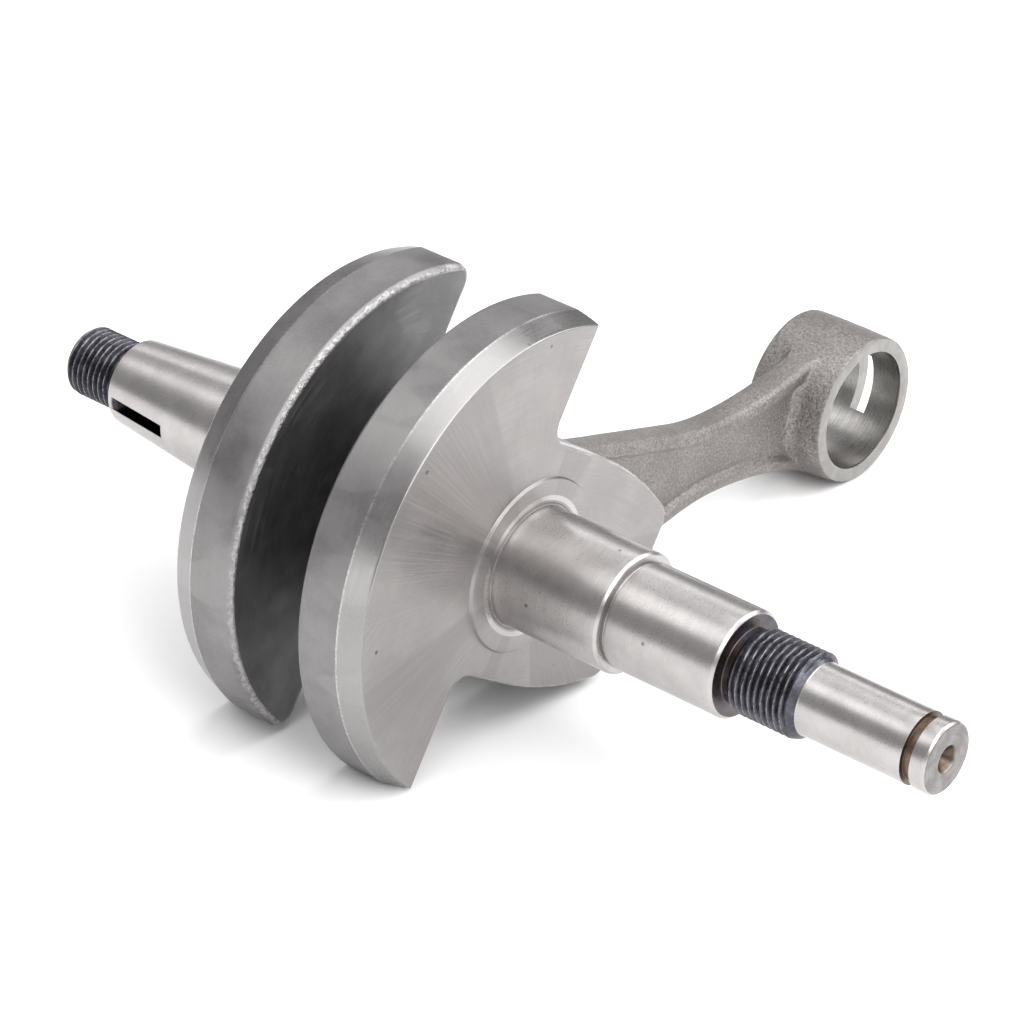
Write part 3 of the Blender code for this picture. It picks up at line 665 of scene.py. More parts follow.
def crank_half(web, shaft, drive):
    """One closed grid: hole floor, inner face, rim, outer face, boss, shaft and centre hole."""
    outline = web_outline(web, web.drive_tip if drive else web.flywheel_tip)
    rows = web_rows(web)
    loops = web_loops(outline, rows)
    inside = pin_side_rows(web, loops[0])
    even = np.arange(COLUMNS) * TURN / COLUMNS
    boss = boss_rows(web, loops[-1], even)
    profile = eased(drive_profile(web, shaft) if drive else flywheel_profile(web, shaft))
    profile = divided(profile, 1.6 * MM)
    if drive:
        thread = (shaft.drive_thread_radius, shaft.drive_thread_start, shaft.drive_thread_end)
    else:
        thread = (shaft.fly_thread_radius, shaft.taper_end + 1.0 * MM, FLYWHEEL_END - 0.02 * MM)
        reach = 5.1 * MM
        profile = with_rows(profile, shaft.key_middle - reach, shaft.key_middle + reach, 0.2 * MM)
    profile = with_rows(profile, thread[1] - 0.35 * MM, thread[2] - 0.05 * MM, 0.085 * MM)
    body = shaft_rows(profile, shaft, thread, not drive)
    # The columns slide from the boss's even angles to the shaft's own over the boss's flat face.
    first = body[0]
    start = np.arctan2(first[:, 2], first[:, 1])
    slide = (start - even + math.pi) % TURN - math.pi
    parts = np.array([0.25, 0.5, 0.75])
    radii = (web.boss_radius - 0.22 * MM) * (1 - parts) + profile[0, 1] * parts
    bridge = np.stack(
        [circle_loop(web.boss_face, 0.0, r, even + p * slide) for r, p in zip(radii, parts)]
    )
    grid = np.concatenate([inside, loops, boss, bridge, body])
    slots = np.full(len(grid) - 1, GROUND)
    at = len(inside)
    slots[:at] = INNER
    slots[at : at + len(loops) - 1] = RIM
    slots[at + len(loops) - 1 : at + len(loops) + len(boss) + 2] = FACE
    x = profile[:, 0]
    first_body = len(grid) - len(body)
    row = np.arange(len(body) - 1)
    if drive:
        dark = (x[:-1] >= shaft.clutch_end - 0.01 * MM) & (x[:-1] < shaft.drive_thread_end)
        dark |= (x[:-1] > shaft.groove_start - 0.01 * MM) & (x[1:] < shaft.groove_end + 0.01 * MM)
        tip = x >= DRIVE_END - 0.2 * MM
    else:
        dark = x[:-1] >= shaft.taper_end - 0.01 * MM
        tip = x >= FLYWHEEL_END - 0.1 * MM
    slots[first_body + row[dark]] = OXIDE
    slots[first_body + np.flatnonzero(tip)[0] :] = END
    slots[first_body : first_body + np.flatnonzero(x > web.boss_face + 0.2 * MM)[0] - 1] = FACE
    side = 1 if drive else -1
    shell = Shell()
    grid = grid * (side, 1, 1)
    shell.add(grid, slots, wrap=True)
    return shell


# ---------------------------------------------------------------- connecting rod


def smooth_step(value, low, high):
    """0 below low, 1 above high, and 3t^2 - 2t^3 between."""
    t = np.clip((value - low) / (high - low), 0.0, 1.0)
    return t * t * (3 - 2 * t)


def smooth_max(a, b, width):
    """The greater of two heights, plus width/4 times h^2 where h = 1 - |a-b|/width is positive."""
    near = np.maximum(1 - np.abs(a - b) / width, 0.0)
    return np.maximum(a, b) + near * near * width / 4


class RodShape:
    """Half the rod's thickness as a height over its middle plane, at (along, across)."""

    def __init__(self, rod):
        self.rod = rod
        apart = ROD_LENGTH - rod.waist_at
        # The curve from the waist that touches the small end's circle without a corner.
        self.small_curve = (apart**2 + rod.waist_half**2 - rod.small_radius**2) / (
            2 * (rod.small_radius - rod.waist_half)
        )
        # The straight flank leaves the waist's curve where it can touch the big end's circle.
        angle = np.radians(np.linspace(5, 25, 2001))
        along = rod.waist_at - rod.flank_curve * np.sin(angle)
        across = rod.waist_half + rod.flank_curve * (1 - np.cos(angle))
        reach = across * np.cos(angle) + along * np.sin(angle)
        best = np.argmin(np.abs(reach - rod.big_radius))
        self.flank_start, self.flank_half = along[best], across[best]
        self.flank_slope = math.tan(angle[best])

    def half_width(self, along):
        """Arcs of circles on both sides of the waist, and a straight flank to the big end."""
        rod = self.rod
        up, down = along - rod.waist_at, rod.waist_at - np.maximum(along, self.flank_start)
        upper = self.small_curve - np.sqrt(np.maximum(self.small_curve**2 - up**2, 0))
        lower = rod.flank_curve - np.sqrt(rod.flank_curve**2 - np.maximum(down, 0) ** 2)
        straight = np.maximum(self.flank_start - along, 0.0) * self.flank_slope
        return rod.waist_half + np.where(up > 0, upper, lower + straight)

    def eye(self, distance, radius, top, fillet, drop):
        """An eye's height at a distance from its axis: its flat face, a small chamfer, a drafted
        wall, and an arc of the fillet's radius that ends on the recess's floor."""
        floor = self.rod.floor_half
        d = distance - (radius - 0.25 * MM)
        wall_foot = 0.2 * MM + drop
        corners = np.array([0.0, 0.10 * MM, 0.2 * MM, wall_foot])
        heights = np.array([top, top - 0.05 * MM, top - 0.2 * MM, floor + fillet])
        wall = np.interp(d, corners, heights)
        inward = np.clip(wall_foot + fillet - d, 0, fillet)
        curve = floor + fillet - np.sqrt(np.maximum(fillet**2 - inward**2, 0.0))
        return np.where(d < wall_foot, wall, curve)

    def height(self, along, across):
        """The shank's I section and both eyes, joined by smooth maxima."""
        rod = self.rod
        inside = self.half_width(along) - np.abs(across)
        rise = rod.flange_half - rod.floor_half
        flange = rod.floor_half + rise * (
            1 - smooth_step(inside, rod.flange_width - 0.15 * MM, rod.flange_width + 0.75 * MM)
        )
        soft = 1.1 * MM
        gap = np.clip(soft - inside, 0.0, soft)
        shank = flange - (soft - np.sqrt(soft**2 - gap**2))
        small = np.hypot(along - ROD_LENGTH, across)
        big = np.hypot(along, across)
        near_small = self.eye(small, rod.small_radius, SMALL_END_HALF, 2.4 * MM, 0.45 * MM)
        near_big = self.eye(big, rod.big_radius, rod.big_half, 2.0 * MM, 0.3 * MM)
        return smooth_max(smooth_max(shank, near_small, 0.7 * MM), near_big, 0.9 * MM)

    def reach(self, angle, centre, radius, sense, tangent):
        """How far the outline lies from an eye's centre at each angle from the shank's direction:
        the shank's flank, found by halving, or past the angle where they touch the eye's own
        circle."""
        low, high = np.full(len(angle), radius), np.full(len(angle), 2.2 * radius)

        def covered(distance):
            along = centre + sense * distance * np.cos(angle)
            return self.half_width(along) > distance * np.sin(angle)

        for _ in range(40):
            middle = (low + high) / 2
            inside = covered(middle)
            low, high = np.where(inside, middle, low), np.where(inside, high, middle)
        return np.where(angle >= tangent - 1e-9, radius, low)


EDGE_ROWS = np.array(
    [0, 0.02, 0.07, 0.16, 0.3, 0.48, 0.7, 1.0, 1.35, 1.7, 1.95, 2.1, 2.25, 2.4, 2.55, 2.7, 2.85, 3.05]
)
FLOOR_PARTS = np.array([0.85, 0.65, 0.45, 0.22, 0.0])
EYE_PARTS = np.concatenate([np.linspace(0, 0.12, 8), np.linspace(0.12, 1, 22)[1:]])


def across_rows(half_width):
    """Half a section's stations from the outline to the middle: set distances in from the
    outline, then even parts of what is left."""
    near = half_width[:, None] - EDGE_ROWS[None] * MM
    return np.hstack([near, near[:, -1:] * FLOOR_PARTS[None]])


def eye_patch(shape, centre, sense, radius, bore, split, spread):
    """The polar part of the rod's top round one eye: lines from the bore to the outline, or to the
    straight line where the shank's own grid begins. Returns the angles and the grid."""
    half = shape.half_width(np.array([split]))
    stations = across_rows(half)[0]
    to_split = abs(centre - split)
    inner = np.arctan2(stations, to_split)[::-1]
    tangent = spread[0]
    outer = np.concatenate(
        [np.linspace(inner[-1], tangent, 34)[1:], np.linspace(tangent, spread[1], 50)[1:]]
    )
    if spread[1] < math.pi:
        outer = np.concatenate([outer, np.linspace(spread[1], math.pi, 20)[1:]])
    angle = np.concatenate([inner, outer])
    reach = shape.reach(angle, centre, radius, sense, tangent)
    reach[: len(inner)] = to_split / np.cos(inner)
    edge = radius - 0.25 * MM
    ring = np.array([bore + 0.25 * MM, (bore + edge) / 2, edge, edge + 0.05 * MM, edge + 0.10 * MM])
    last = edge + 0.15 * MM
    rows = np.vstack(
        [
            np.broadcast_to(ring[:, None], (len(ring), len(angle))),
            last + (reach[None] - last) * EYE_PARTS[:, None],
        ]
    )
    along, across = centre + sense * rows * np.cos(angle), rows * np.sin(angle)
    across[:, 0] = 0.0
    along[-1, : len(inner)] = split
    across[-1, : len(inner)] = stations[::-1]
    return angle, np.stack([shape.height(along, across), along, across], 2), len(inner)


def connecting_rod(rod):
    """The rod's closed surface: two polar grids and the shank's grid as a height field, mirrored
    to all four quarters, a side wall with a parting ridge, both bores and the oil slot."""
    shape = RodShape(rod)
    low_split, high_split = 17.0 * MM, 60.0 * MM
    tangent_small = math.acos(
        (ROD_LENGTH - rod.waist_at) / (shape.small_curve + rod.small_radius)
    )
    tangent_big = math.pi / 2 - math.atan(shape.flank_slope)
    a_small, small, n_small = eye_patch(
        shape, ROD_LENGTH, -1, rod.small_radius, rod.small_bore, high_split,
        (tangent_small, math.pi - rod.slot_reach),
    )
    a_big, big, n_big = eye_patch(
        shape, 0.0, 1, rod.big_radius, rod.big_bore, low_split, (tangent_big, math.pi)
    )
    along = np.linspace(low_split, high_split, 110)
    across = across_rows(shape.half_width(along)).T
    along = np.broadcast_to(along, across.shape)
    shank = np.stack([shape.height(along, across), along, across], 2)

    shell = Shell()
    skin, machined, bore_slot = 0, 1, 2
    ring_rows = 2
    for x_side in (1, -1):
        for q_side in (1, -1):
            flip = (x_side, 1, q_side)
            for eye in (small, big):
                slots = np.full(len(eye) - 1, skin)
                slots[: ring_rows + 2] = machined
                shell.add(eye * flip, slots)
            shell.add(shank * flip, skin)

    # The outline from the small end's tip along one flank to the big end's tip.
    top = np.concatenate(
        [small[-1, n_small - 1 :][::-1], shank[0, ::-1][1:-1], big[-1, n_big - 1 :]]
    )
    tangent = np.gradient(top[:, 1:], axis=0)
    normal = np.stack([-tangent[:, 1], tangent[:, 0]], 1)
    normal /= np.linalg.norm(normal, axis=1, keepdims=True)
    normal *= np.where(normal[len(normal) // 2, 1] > 0, 1.0, -1.0)
    normal[0], normal[-1] = (1.0, 0.0), (-1.0, 0.0)
    exposed = top[0, 0]
    levels = np.concatenate([[0.97, 0.9, 0.75, 0.55, 0.4], [0.12, 0.05]])
    levels = np.concatenate([levels, -levels, [0.0, 1.0, -1.0]])
    levels = np.sort(np.append(levels, [rod.slot_high / exposed, rod.slot_low / exposed]))
    x = levels[:, None] * top[None, :, 0]
    bulge = 0.10 * MM * (1 - np.abs(levels[:, None]) ** 2)
    wall = np.stack(
        [x, top[None, :, 1] + bulge * normal[:, 0], top[None, :, 2] + bulge * normal[:, 1]], 2
    )
    low_row, high_row = (
        int(np.flatnonzero(np.isclose(levels, edge / exposed))[0])
        for edge in (rod.slot_low, rod.slot_high)
    )
    slot_columns = int(np.argmin(np.abs((math.pi - a_small[::-1]) - rod.slot_reach)))
    keep = np.ones((wall.shape[0] - 1, wall.shape[1] - 1), bool)
    keep[low_row:high_row, :slot_columns] = False
    for q_side in (1, -1):
        shell.add(wall * (1, 1, q_side), skin, keep=keep)

    # Both bores, as rings of the same columns as the eyes' grids.
    for angle, centre, sense, bore, half, slotted in (
        (a_small, ROD_LENGTH, -1, rod.small_bore, SMALL_END_HALF, True),
        (a_big, 0.0, 1, rod.big_bore, rod.big_half, False),
    ):
        inner_levels = levels * (exposed if slotted else half - 0.3 * MM)
        first = [-half, -half + 0.07 * MM, -half + 0.25 * MM]
        last = [half - 0.25 * MM, half - 0.07 * MM, half]
        x = np.concatenate([first, inner_levels, last])
        radius = np.full(len(x), bore)
        radius[[0, -1]], radius[[1, -2]] = bore + 0.25 * MM, bore + 0.07 * MM
        order = np.argsort(x, kind="stable")
        x, radius = x[order], radius[order]
        grid = np.stack(
            [
                np.broadcast_to(x[:, None], (len(x), len(angle))),
                centre + sense * radius[:, None] * np.cos(angle),
                radius[:, None] * np.sin(angle),
            ],
            2,
        )
        grid[:, 0, 2] = 0.0
        grid[:, -1, 2] = 0.0
        keep = np.ones((len(x) - 1, len(angle) - 1), bool)
        if slotted:
            low, high = (int(np.argmin(np.abs(x - e))) for e in (rod.slot_low, rod.slot_high))
            keep[low:high, len(angle) - 1 - slot_columns :] = False
            bore_tip = grid[low : high + 1, ::-1][:, : slot_columns + 1]
        for q_side in (1, -1):
            shell.add(grid * (1, 1, q_side), bore_slot, keep=keep)
    wall_tip = wall[low_row : high_row + 1, : slot_columns + 1]
    for q_side in (1, -1):
        flip = (1, 1, q_side)
        for row in (0, -1):
            shell.add(blended(bore_tip[row], wall_tip[row], (0.0, 0.5, 1.0)) * flip, bore_slot)
        shell.add(blended(bore_tip[:, -1], wall_tip[:, -1], (0.0, 0.5, 1.0)) * flip, bore_slot)
    return shell


# ---------------------------------------------------------------- bearing pieces


def ring_shell(corners, columns):
    """A closed profile of (x, radius, easing) corners swept round X."""
    shell = Shell()
    corners = list(corners) + [corners[0]]
    profile = divided(eased(corners), 1.5 * MM)
    shell.add(turned_grid(profile, columns), 0, wrap=True)
    return shell


def bar_shell(radius, half, chamfer, columns, dimple=0.0):
    """A round bar across the middle plane with eased chamfers. A dimple is a lathe centre."""
    low = 0.0
    end = [(half, low, 0.0)]
    if dimple:
        end = [(half - dimple, low, 0.0), (half, dimple * 1.1, 0.05 * MM)]
    side = end + [(half, radius - chamfer, chamfer / 3), (half - chamfer, radius, chamfer / 3)]
    corners = side + [(-x, r, e) for x, r, e in reversed(side)]
    shell = Shell()
    profile = divided(eased(corners), 1.5 * MM)
    shell.add(turned_grid(profile, columns), 0, wrap=True)
    return shell


def cage_shell(sizes):
    """A sleeve whose pockets are the missing cells of a grid of angles and stations, with walls
    between the inner and the outer surface wherever a made cell meets a missing one."""
    count = sizes.rollers
    middle = (sizes.cage_inner + sizes.cage_outer) / 2
    half_pocket = (sizes.roller_radius + sizes.pocket_gap) / middle
    step = TURN / count
    pocket = np.linspace(-half_pocket, half_pocket, 7)
    bar = np.linspace(half_pocket, step - half_pocket, 4)[1:-1]
    angle = (np.arange(count)[:, None] * step + np.concatenate([pocket, bar])[None]).ravel()
    is_pocket = np.tile(np.arange(len(pocket) + len(bar)) < len(pocket) - 1, count)
    reach = sizes.roller_half + sizes.pocket_gap
    half, soft = sizes.cage_half, 0.12 * MM
    x = np.array([-half, -half + soft, -reach, -reach / 2, 0.0, reach / 2, reach, half - soft, half])
    open_cell = is_pocket[None, :] & (np.abs((x[1:] + x[:-1]) / 2) < reach)[:, None]
    edge = np.isin(np.arange(len(x)), (0, len(x) - 1)) * soft

    def surface(radius, sign):
        r = (radius - sign * edge)[:, None]
        return np.stack([x[:, None] + 0 * angle, r * np.cos(angle), r * np.sin(angle)], 2)

    inner, outer = surface(sizes.cage_inner, -1), surface(sizes.cage_outer, 1)
    made = ~open_cell
    shell = Shell()
    for skin in (inner, outer):
        shell.add(skin, wrap=True, keep=made)
    padded = np.pad(made, ((1, 1), (0, 0)))
    ends = np.nonzero(padded[1:] != padded[:-1])
    flanks = np.nonzero(made != np.roll(made, 1, 1))

    def between(here, there):
        return np.stack([inner[here], inner[there], outer[there], outer[here]], 1)

    walls = np.concatenate(
        [
            between(ends, (ends[0], (ends[1] + 1) % len(angle))),
            between(flanks, (flanks[0] + 1, flanks[1])),
        ]
    )
    shell.points.append(walls.reshape(-1, 3))
    shell.faces.append(np.arange(4 * len(walls)).reshape(-1, 4) + shell.count)
    shell.slots.append(np.zeros(len(walls), int))
    shell.count += 4 * len(walls)
    return shell


# ---------------------------------------------------------------- finishes


def shade(colour, factor):
    return tuple(min(1.0, c * factor) for c in colour)


class Finish:
    """A metal's node material, with its pattern space turned to the shaft's or the rod's axis.
    A number or a socket can be given wherever a node takes either."""

    def __init__(self, name, colour, centre=SHAFT_AXIS, turn=CRANK_TURN):
        self.material = bpy.data.materials.new(name)
        self.material.use_nodes = True
        self.tree = self.material.node_tree
        self.shader = self.tree.nodes["Principled BSDF"]
        self.shader.inputs["Metallic"].default_value = 1.0
        self.colour, self.centre = colour, tuple(centre)
        self.where = self.add("ShaderNodeTexCoord").outputs["Object"]
        mapping = self.add("ShaderNodeMapping", vector_type="TEXTURE")
        mapping.inputs["Location"].default_value = self.centre
        mapping.inputs["Rotation"].default_value = (turn, 0.0, 0.0)
        self.link(self.where, mapping.inputs["Vector"])
        self.space = mapping.outputs["Vector"]
        split = self.add("ShaderNodeSeparateXYZ")
        self.link(self.space, split.inputs[0])
        self.x, self.out, self.across = split.outputs
        self.radius = self.length(self.out, self.across)
        self.angle = self.math("ARCTAN2", self.across, self.out)
        self.tone = self.normal = None

    def add(self, kind, **settings):
        node = self.tree.nodes.new(kind)
        for key, value in settings.items():
            setattr(node, key, value)
        return node

    def link(self, source, target):
        if hasattr(source, "is_linked"):
            self.tree.links.new(source, target)
        else:
            target.default_value = source

    def fed(self, node, *values):
        """The node's first output, with its first inputs given the values."""
        for value, target in zip(values, node.inputs):
            self.link(value, target)
        return node.outputs[0]

    def math(self, operation, *values, clamp=False):
        return self.fed(self.add("ShaderNodeMath", operation=operation, use_clamp=clamp), *values)

    def times(self, first, second, clamp=False):
        return self.math("MULTIPLY", first, second, clamp=clamp)

    def plus(self, first, second):
        return self.math("ADD", first, second)

    def above(self, first, second):
        return self.math("GREATER_THAN", first, second)

    def below(self, first, second):
        return self.math("LESS_THAN", first, second)

    def length(self, a, b):
        return self.math("SQRT", self.plus(self.times(a, a), self.times(b, b)))

    def vector(self, x, y, z=0.0):
        return self.fed(self.add("ShaderNodeCombineXYZ"), x, y, z)

    def moved(self, operation, vector, amount):
        return self.fed(self.add("ShaderNodeVectorMath", operation=operation), vector, amount)

    def noise(self, where, scale, detail=3.0, roughness=0.55):
        node = self.add("ShaderNodeTexNoise")
        settings = {"Vector": where, "Scale": scale, "Detail": detail, "Roughness": roughness}
        for key, value in settings.items():
            self.link(value, node.inputs[key])
        return node.outputs["Fac"]

    def marks(self, place, fine, along, detail=3.0, angle=None):
        """Long fine marks: noise that is close across them and slow along them."""
        angle = angle or self.angle
        where = self.vector(self.times(place, fine), self.times(angle, along))
        return self.noise(where, 1.0, detail)

    def cells(self, scale):
        node = self.add("ShaderNodeTexVoronoi")
        self.link(self.space, node.inputs["Vector"])
        self.link(scale, node.inputs["Scale"])
        return node.outputs["Distance"]

    def span(self, value, low, high, to_low=0.0, to_high=1.0):
        """The value's place between low and high, smoothed, then spread between two results."""
        node = self.add("ShaderNodeMapRange", interpolation_type="SMOOTHSTEP")
        return self.fed(node, value, low, high, to_low, to_high)

    def mix(self, part, first, second):
        node = self.add("ShaderNodeMix", data_type="RGBA")
        self.link(part, node.inputs["Factor"])
        for value, target in zip((first, second), node.inputs[6:8]):
            self.link(value if hasattr(value, "is_linked") else (*value, 1.0), target)
        return node.outputs[2]

    def clouded(self, pattern, low, high, dark, light):
        """The first tone: the pattern spread between two shades of the colour."""
        shades = shade(self.colour, dark), shade(self.colour, light)
        self.tone = self.mix(self.span(pattern, low, high), *shades)

    def over(self, part, factor, colour=None):
        """Another shade laid over the tone, as far as the part says."""
        self.tone = self.mix(part, self.tone, shade(colour or self.colour, factor))

    def under(self, part, factor):
        """A shade that shows where the part falls to nothing."""
        self.tone = self.mix(part, shade(self.colour, factor), self.tone)

    def bump(self, height, distance, strength):
        node = self.add("ShaderNodeBump")
        settings = {"Distance": distance, "Strength": strength, "Height": height}
        if self.normal:
            settings["Normal"] = self.normal
        for key, value in settings.items():
            self.link(value, node.inputs[key])
        self.normal = node.outputs["Normal"]

    def stretched(self, direction, amount):
        """Highlights drawn out along a direction, as fine parallel marks do across themselves."""
        node = self.add("ShaderNodeVectorTransform", vector_type="VECTOR")
        node.convert_from, node.convert_to = "OBJECT", "WORLD"
        self.link(amount, self.shader.inputs["Anisotropic"])
        self.link(self.fed(node, direction), self.shader.inputs["Tangent"])

    def done(self, roughness):
        self.link(self.tone, self.shader.inputs["Base Color"])
        self.link(roughness, self.shader.inputs["Roughness"])
        self.link(self.normal, self.shader.inputs["Normal"])
        return self.material


def rod_finish(name, colour):
    return Finish(name, colour, PIN_AXIS, ROD_TURN)


def ground_finish(name, colour, dark, shaft):
    """Fine rings round the shaft, faint stains, a few tiny pits and a black key seat."""
    f = Finish(name, colour)
    rings = f.marks(f.x, 9000.0, 2.0, 4.0)
    stains = f.noise(f.space, 260.0, 3.0, 0.6)
    grain = f.noise(f.space, 5200.0, 2.0)
    f.clouded(stains, 0.38, 0.68, 0.93, 1.04)
    f.under(f.span(f.cells(190.0), 0.035, 0.07), 0.42)
    # How far the point lies under the taper's own cone, on the flywheel's side only.
    slope = (shaft.bearing_radius - shaft.taper_radius) / (shaft.taper_end - shaft.taper_start)
    cone = f.math("MULTIPLY_ADD", f.x, slope, shaft.bearing_radius + slope * shaft.taper_start)
    sunk = f.span(f.math("SUBTRACT", cone, f.radius), 0.00006, 0.00016)
    in_taper = f.below(f.x, -shaft.taper_start - 0.006)
    in_taper = f.times(in_taper, f.above(f.x, -shaft.taper_end + 0.0004))
    f.over(f.times(sunk, in_taper), 0.4, dark)
    f.bump(rings, 0.000006, 0.35)
    f.bump(grain, 0.00001, 0.25)
    f.stretched(f.vector(1.0, 0.0), 0.6)
    return f.done(f.plus(f.span(rings, 0.3, 0.7, 0.26, 0.34), f.span(grain, 0.3, 0.7, -0.02, 0.05)))


def face_finish(name, colour):
    """Web's outer face: arcs from a large wheel and pits, with painted reflection: darker sector
    shading and lighter radial spoke streaks round the shaft, the streaks also bumped as marks.
    """
    f = Finish(name, colour)
    aside, behind = f.plus(f.across, 0.028), f.plus(f.out, -0.012)
    reach, turn = f.length(aside, behind), f.math("ARCTAN2", aside, behind)
    arcs = f.marks(reach, 4200.0, 3.0, 4.0, turn)
    spoke_marks_and_highlights = f.noise(f.vector(f.times(f.angle, 80.0), f.times(f.radius, 60.0)), 1.0, 4.0, 0.6)
    out, across = (f.math("DIVIDE", side, f.radius) for side in (f.out, f.across))
    painted_reflection_sectors = f.noise(f.vector(out, across), 1.7, 1.0)
    f.clouded(f.noise(f.space, 140.0, 4.0, 0.6), 0.35, 0.7, 0.9, 1.05)
    # Painted reflection: darker broad sector shading round the shaft.
    f.over(f.span(painted_reflection_sectors, 0.46, 0.50, 0.0, 0.85), 0.8)
    f.over(f.span(arcs, 0.35, 0.65, 0.0, 0.25), 0.8)
    # Painted highlight: lighter radial spoke streaks.
    f.over(f.span(spoke_marks_and_highlights, 0.42, 0.66, 0.0, 0.32), 1.15)
    f.under(f.span(f.cells(150.0), 0.03, 0.06), 0.4)
    f.bump(arcs, 0.00003, 0.5)
    f.bump(spoke_marks_and_highlights, 0.00006, 0.5)
    from_axis = f.moved("MULTIPLY", f.moved("SUBTRACT", f.where, f.centre), (0.0, 1.0, 1.0))
    f.stretched(from_axis, 0.75)
    rough = f.span(arcs, 0.3, 0.7, 0.34, 0.42)
    return f.done(f.plus(rough, f.span(spoke_marks_and_highlights, 0.35, 0.7, -0.04, 0.05)))


def rim_finish(name, colour, worn):
    """Rim and bevel: a cloudy tone, pits, a scratched lobe and a bright worn inner edge, with painted
    sheen on lighter patchy spots and on the bevel, and a painted highlight line where it starts.
    """
    f = Finish(name, colour)
    away = f.math("ABSOLUTE", f.x)
    clouds = f.noise(f.space, 120.0, 5.0, 0.62)
    turning = f.marks(f.x, 5200.0, 5.0)
    speckle = f.noise(f.space, 2600.0, 3.0, 0.7)
    patches_and_sheen = f.noise(f.moved("MULTIPLY", f.space, (0.5, 1.0, 1.0)), 95.0, 2.0, 0.45)
    f.clouded(clouds, 0.36, 0.66, 0.84, 1.10)
    # Painted sheen: lighter patchy spots where the rim is glossier.
    f.over(f.span(patches_and_sheen, 0.52, 0.56, 0.0, 0.35), 1.4)
    f.over(f.span(speckle, 0.42, 0.7, 0.0, 0.25), 1.3)
    f.under(f.span(f.cells(170.0), 0.03, 0.07), 0.4)
    ragged = f.math("MULTIPLY_ADD", f.noise(f.space, 900.0, 4.0, 0.7), 0.0016, away)
    broken = f.span(f.noise(f.space, 1500.0, 3.0, 0.7), 0.36, 0.58, 0.15 * worn, worn)
    edge = f.times(f.span(ragged, 0.00675, 0.0071, 1.0, 0.0), broken)
    f.over(edge, 1.75)
    lobe_edge = f.times(f.span(away, 0.0146, 0.0158), f.above(f.out, 0.0))
    scratches = f.noise(f.moved("MULTIPLY", f.space, (1.0, 0.25, 1.0)), 1500.0, 4.0, 0.7)
    f.over(f.times(lobe_edge, f.span(scratches, 0.42, 0.6)), 2.1)
    bevel = f.span(away, 0.01262, 0.01272)
    line = f.times(bevel, f.span(away, 0.0128, 0.0130, 1.0, 0.0))
    # Painted sheen lightens the bevel, and a painted highlight lights the thin line where the bevel
    # starts.
    f.over(f.times(bevel, 0.55), 1.4)
    f.over(f.times(line, f.span(speckle, 0.35, 0.6)), 2.0)
    f.bump(turning, 0.00001, 0.4)
    f.bump(f.times(edge, f.noise(f.space, 1800.0, 4.0, 0.7)), 0.0002, 0.6)
    f.bump(clouds, 0.00006, 0.3)
    rough = f.plus(f.span(clouds, 0.35, 0.7, 0.42, 0.52), f.span(turning, 0.3, 0.7, -0.03, 0.04))
    return f.done(f.math("SUBTRACT", rough, f.times(bevel, 0.16)))


def shaded_inner_finish(name, colour):
    """Milled inner face of a web: close arcs on a dark colour that paints the shade between the webs."""
    f = Finish(name, colour)
    rows = f.marks(f.radius, 3200.0, 3.0)
    f.clouded(f.noise(f.space, 160.0, 4.0), 0.35, 0.65, 0.85, 1.15)
    f.over(f.span(rows, 0.4, 0.7, 0.0, 0.35), 1.35)
    f.bump(rows, 0.00004, 0.5)
    return f.done(f.span(rows, 0.3, 0.7, 0.42, 0.55))


def oxide_finish(name, dark, tint, bright):
    """Black oxide on threads, lighter towards bare steel on the crests, with brown and blue heat
    tints on the reliefs."""
    f = Finish(name, dark)
    patch = f.noise(f.space, 420.0, 4.0, 0.65)
    fine = f.noise(f.space, 2400.0, 3.0, 0.6)
    f.clouded(patch, 0.42, 0.66, 0.75, 1.3)
    tinted = f.mix(f.span(f.noise(f.space, 210.0, 2.0), 0.45, 0.62), tint, (0.075, 0.08, 0.11))
    near_face = f.times(f.span(f.x, 0.0538, 0.0524, 0.0, 0.6), f.above(f.x, 0.0))
    worn = f.span(patch, 0.3, 0.55, 0.5, 1.0)
    f.tone = f.mix(f.times(near_face, worn, clamp=True), f.tone, tinted)
    f.over(f.times(f.span(f.x, 0.070, 0.074, 0.0, 0.9), worn, clamp=True), 1.5, tint)
    on_drive = f.times(f.above(f.x, 0.0537), f.below(f.x, 0.064))
    drive_crest = f.times(f.span(f.radius, 0.00592, 0.00601, 0.0, 0.5), on_drive)
    fly_crest = f.times(f.span(f.radius, 0.00503, 0.00511, 0.0, 0.6), f.below(f.x, 0.0))
    crest = f.times(f.plus(drive_crest, fly_crest), f.span(fine, 0.35, 0.6), clamp=True)
    f.over(crest, 1.0, bright)
    f.bump(fine, 0.00002, 0.3)
    return f.done(f.span(fine, 0.3, 0.7, 0.26, 0.42))


def end_finish(name, colour, dark):
    """Faced end with the lathe's rings round its dark centre."""
    f = Finish(name, colour)
    rings = f.marks(f.radius, 7000.0, 1.0)
    f.clouded(f.noise(f.space, 500.0, 4.0), 0.38, 0.66, 0.6, 0.85)
    f.over(f.span(rings, 0.4, 0.65, 0.0, 0.3), 0.5)
    f.over(f.span(f.radius, 0.00175, 0.0019, 0.85, 0.0), 1.0, dark)
    f.bump(rings, 0.00003, 0.5)
    return f.done(f.span(rings, 0.3, 0.7, 0.32, 0.46))


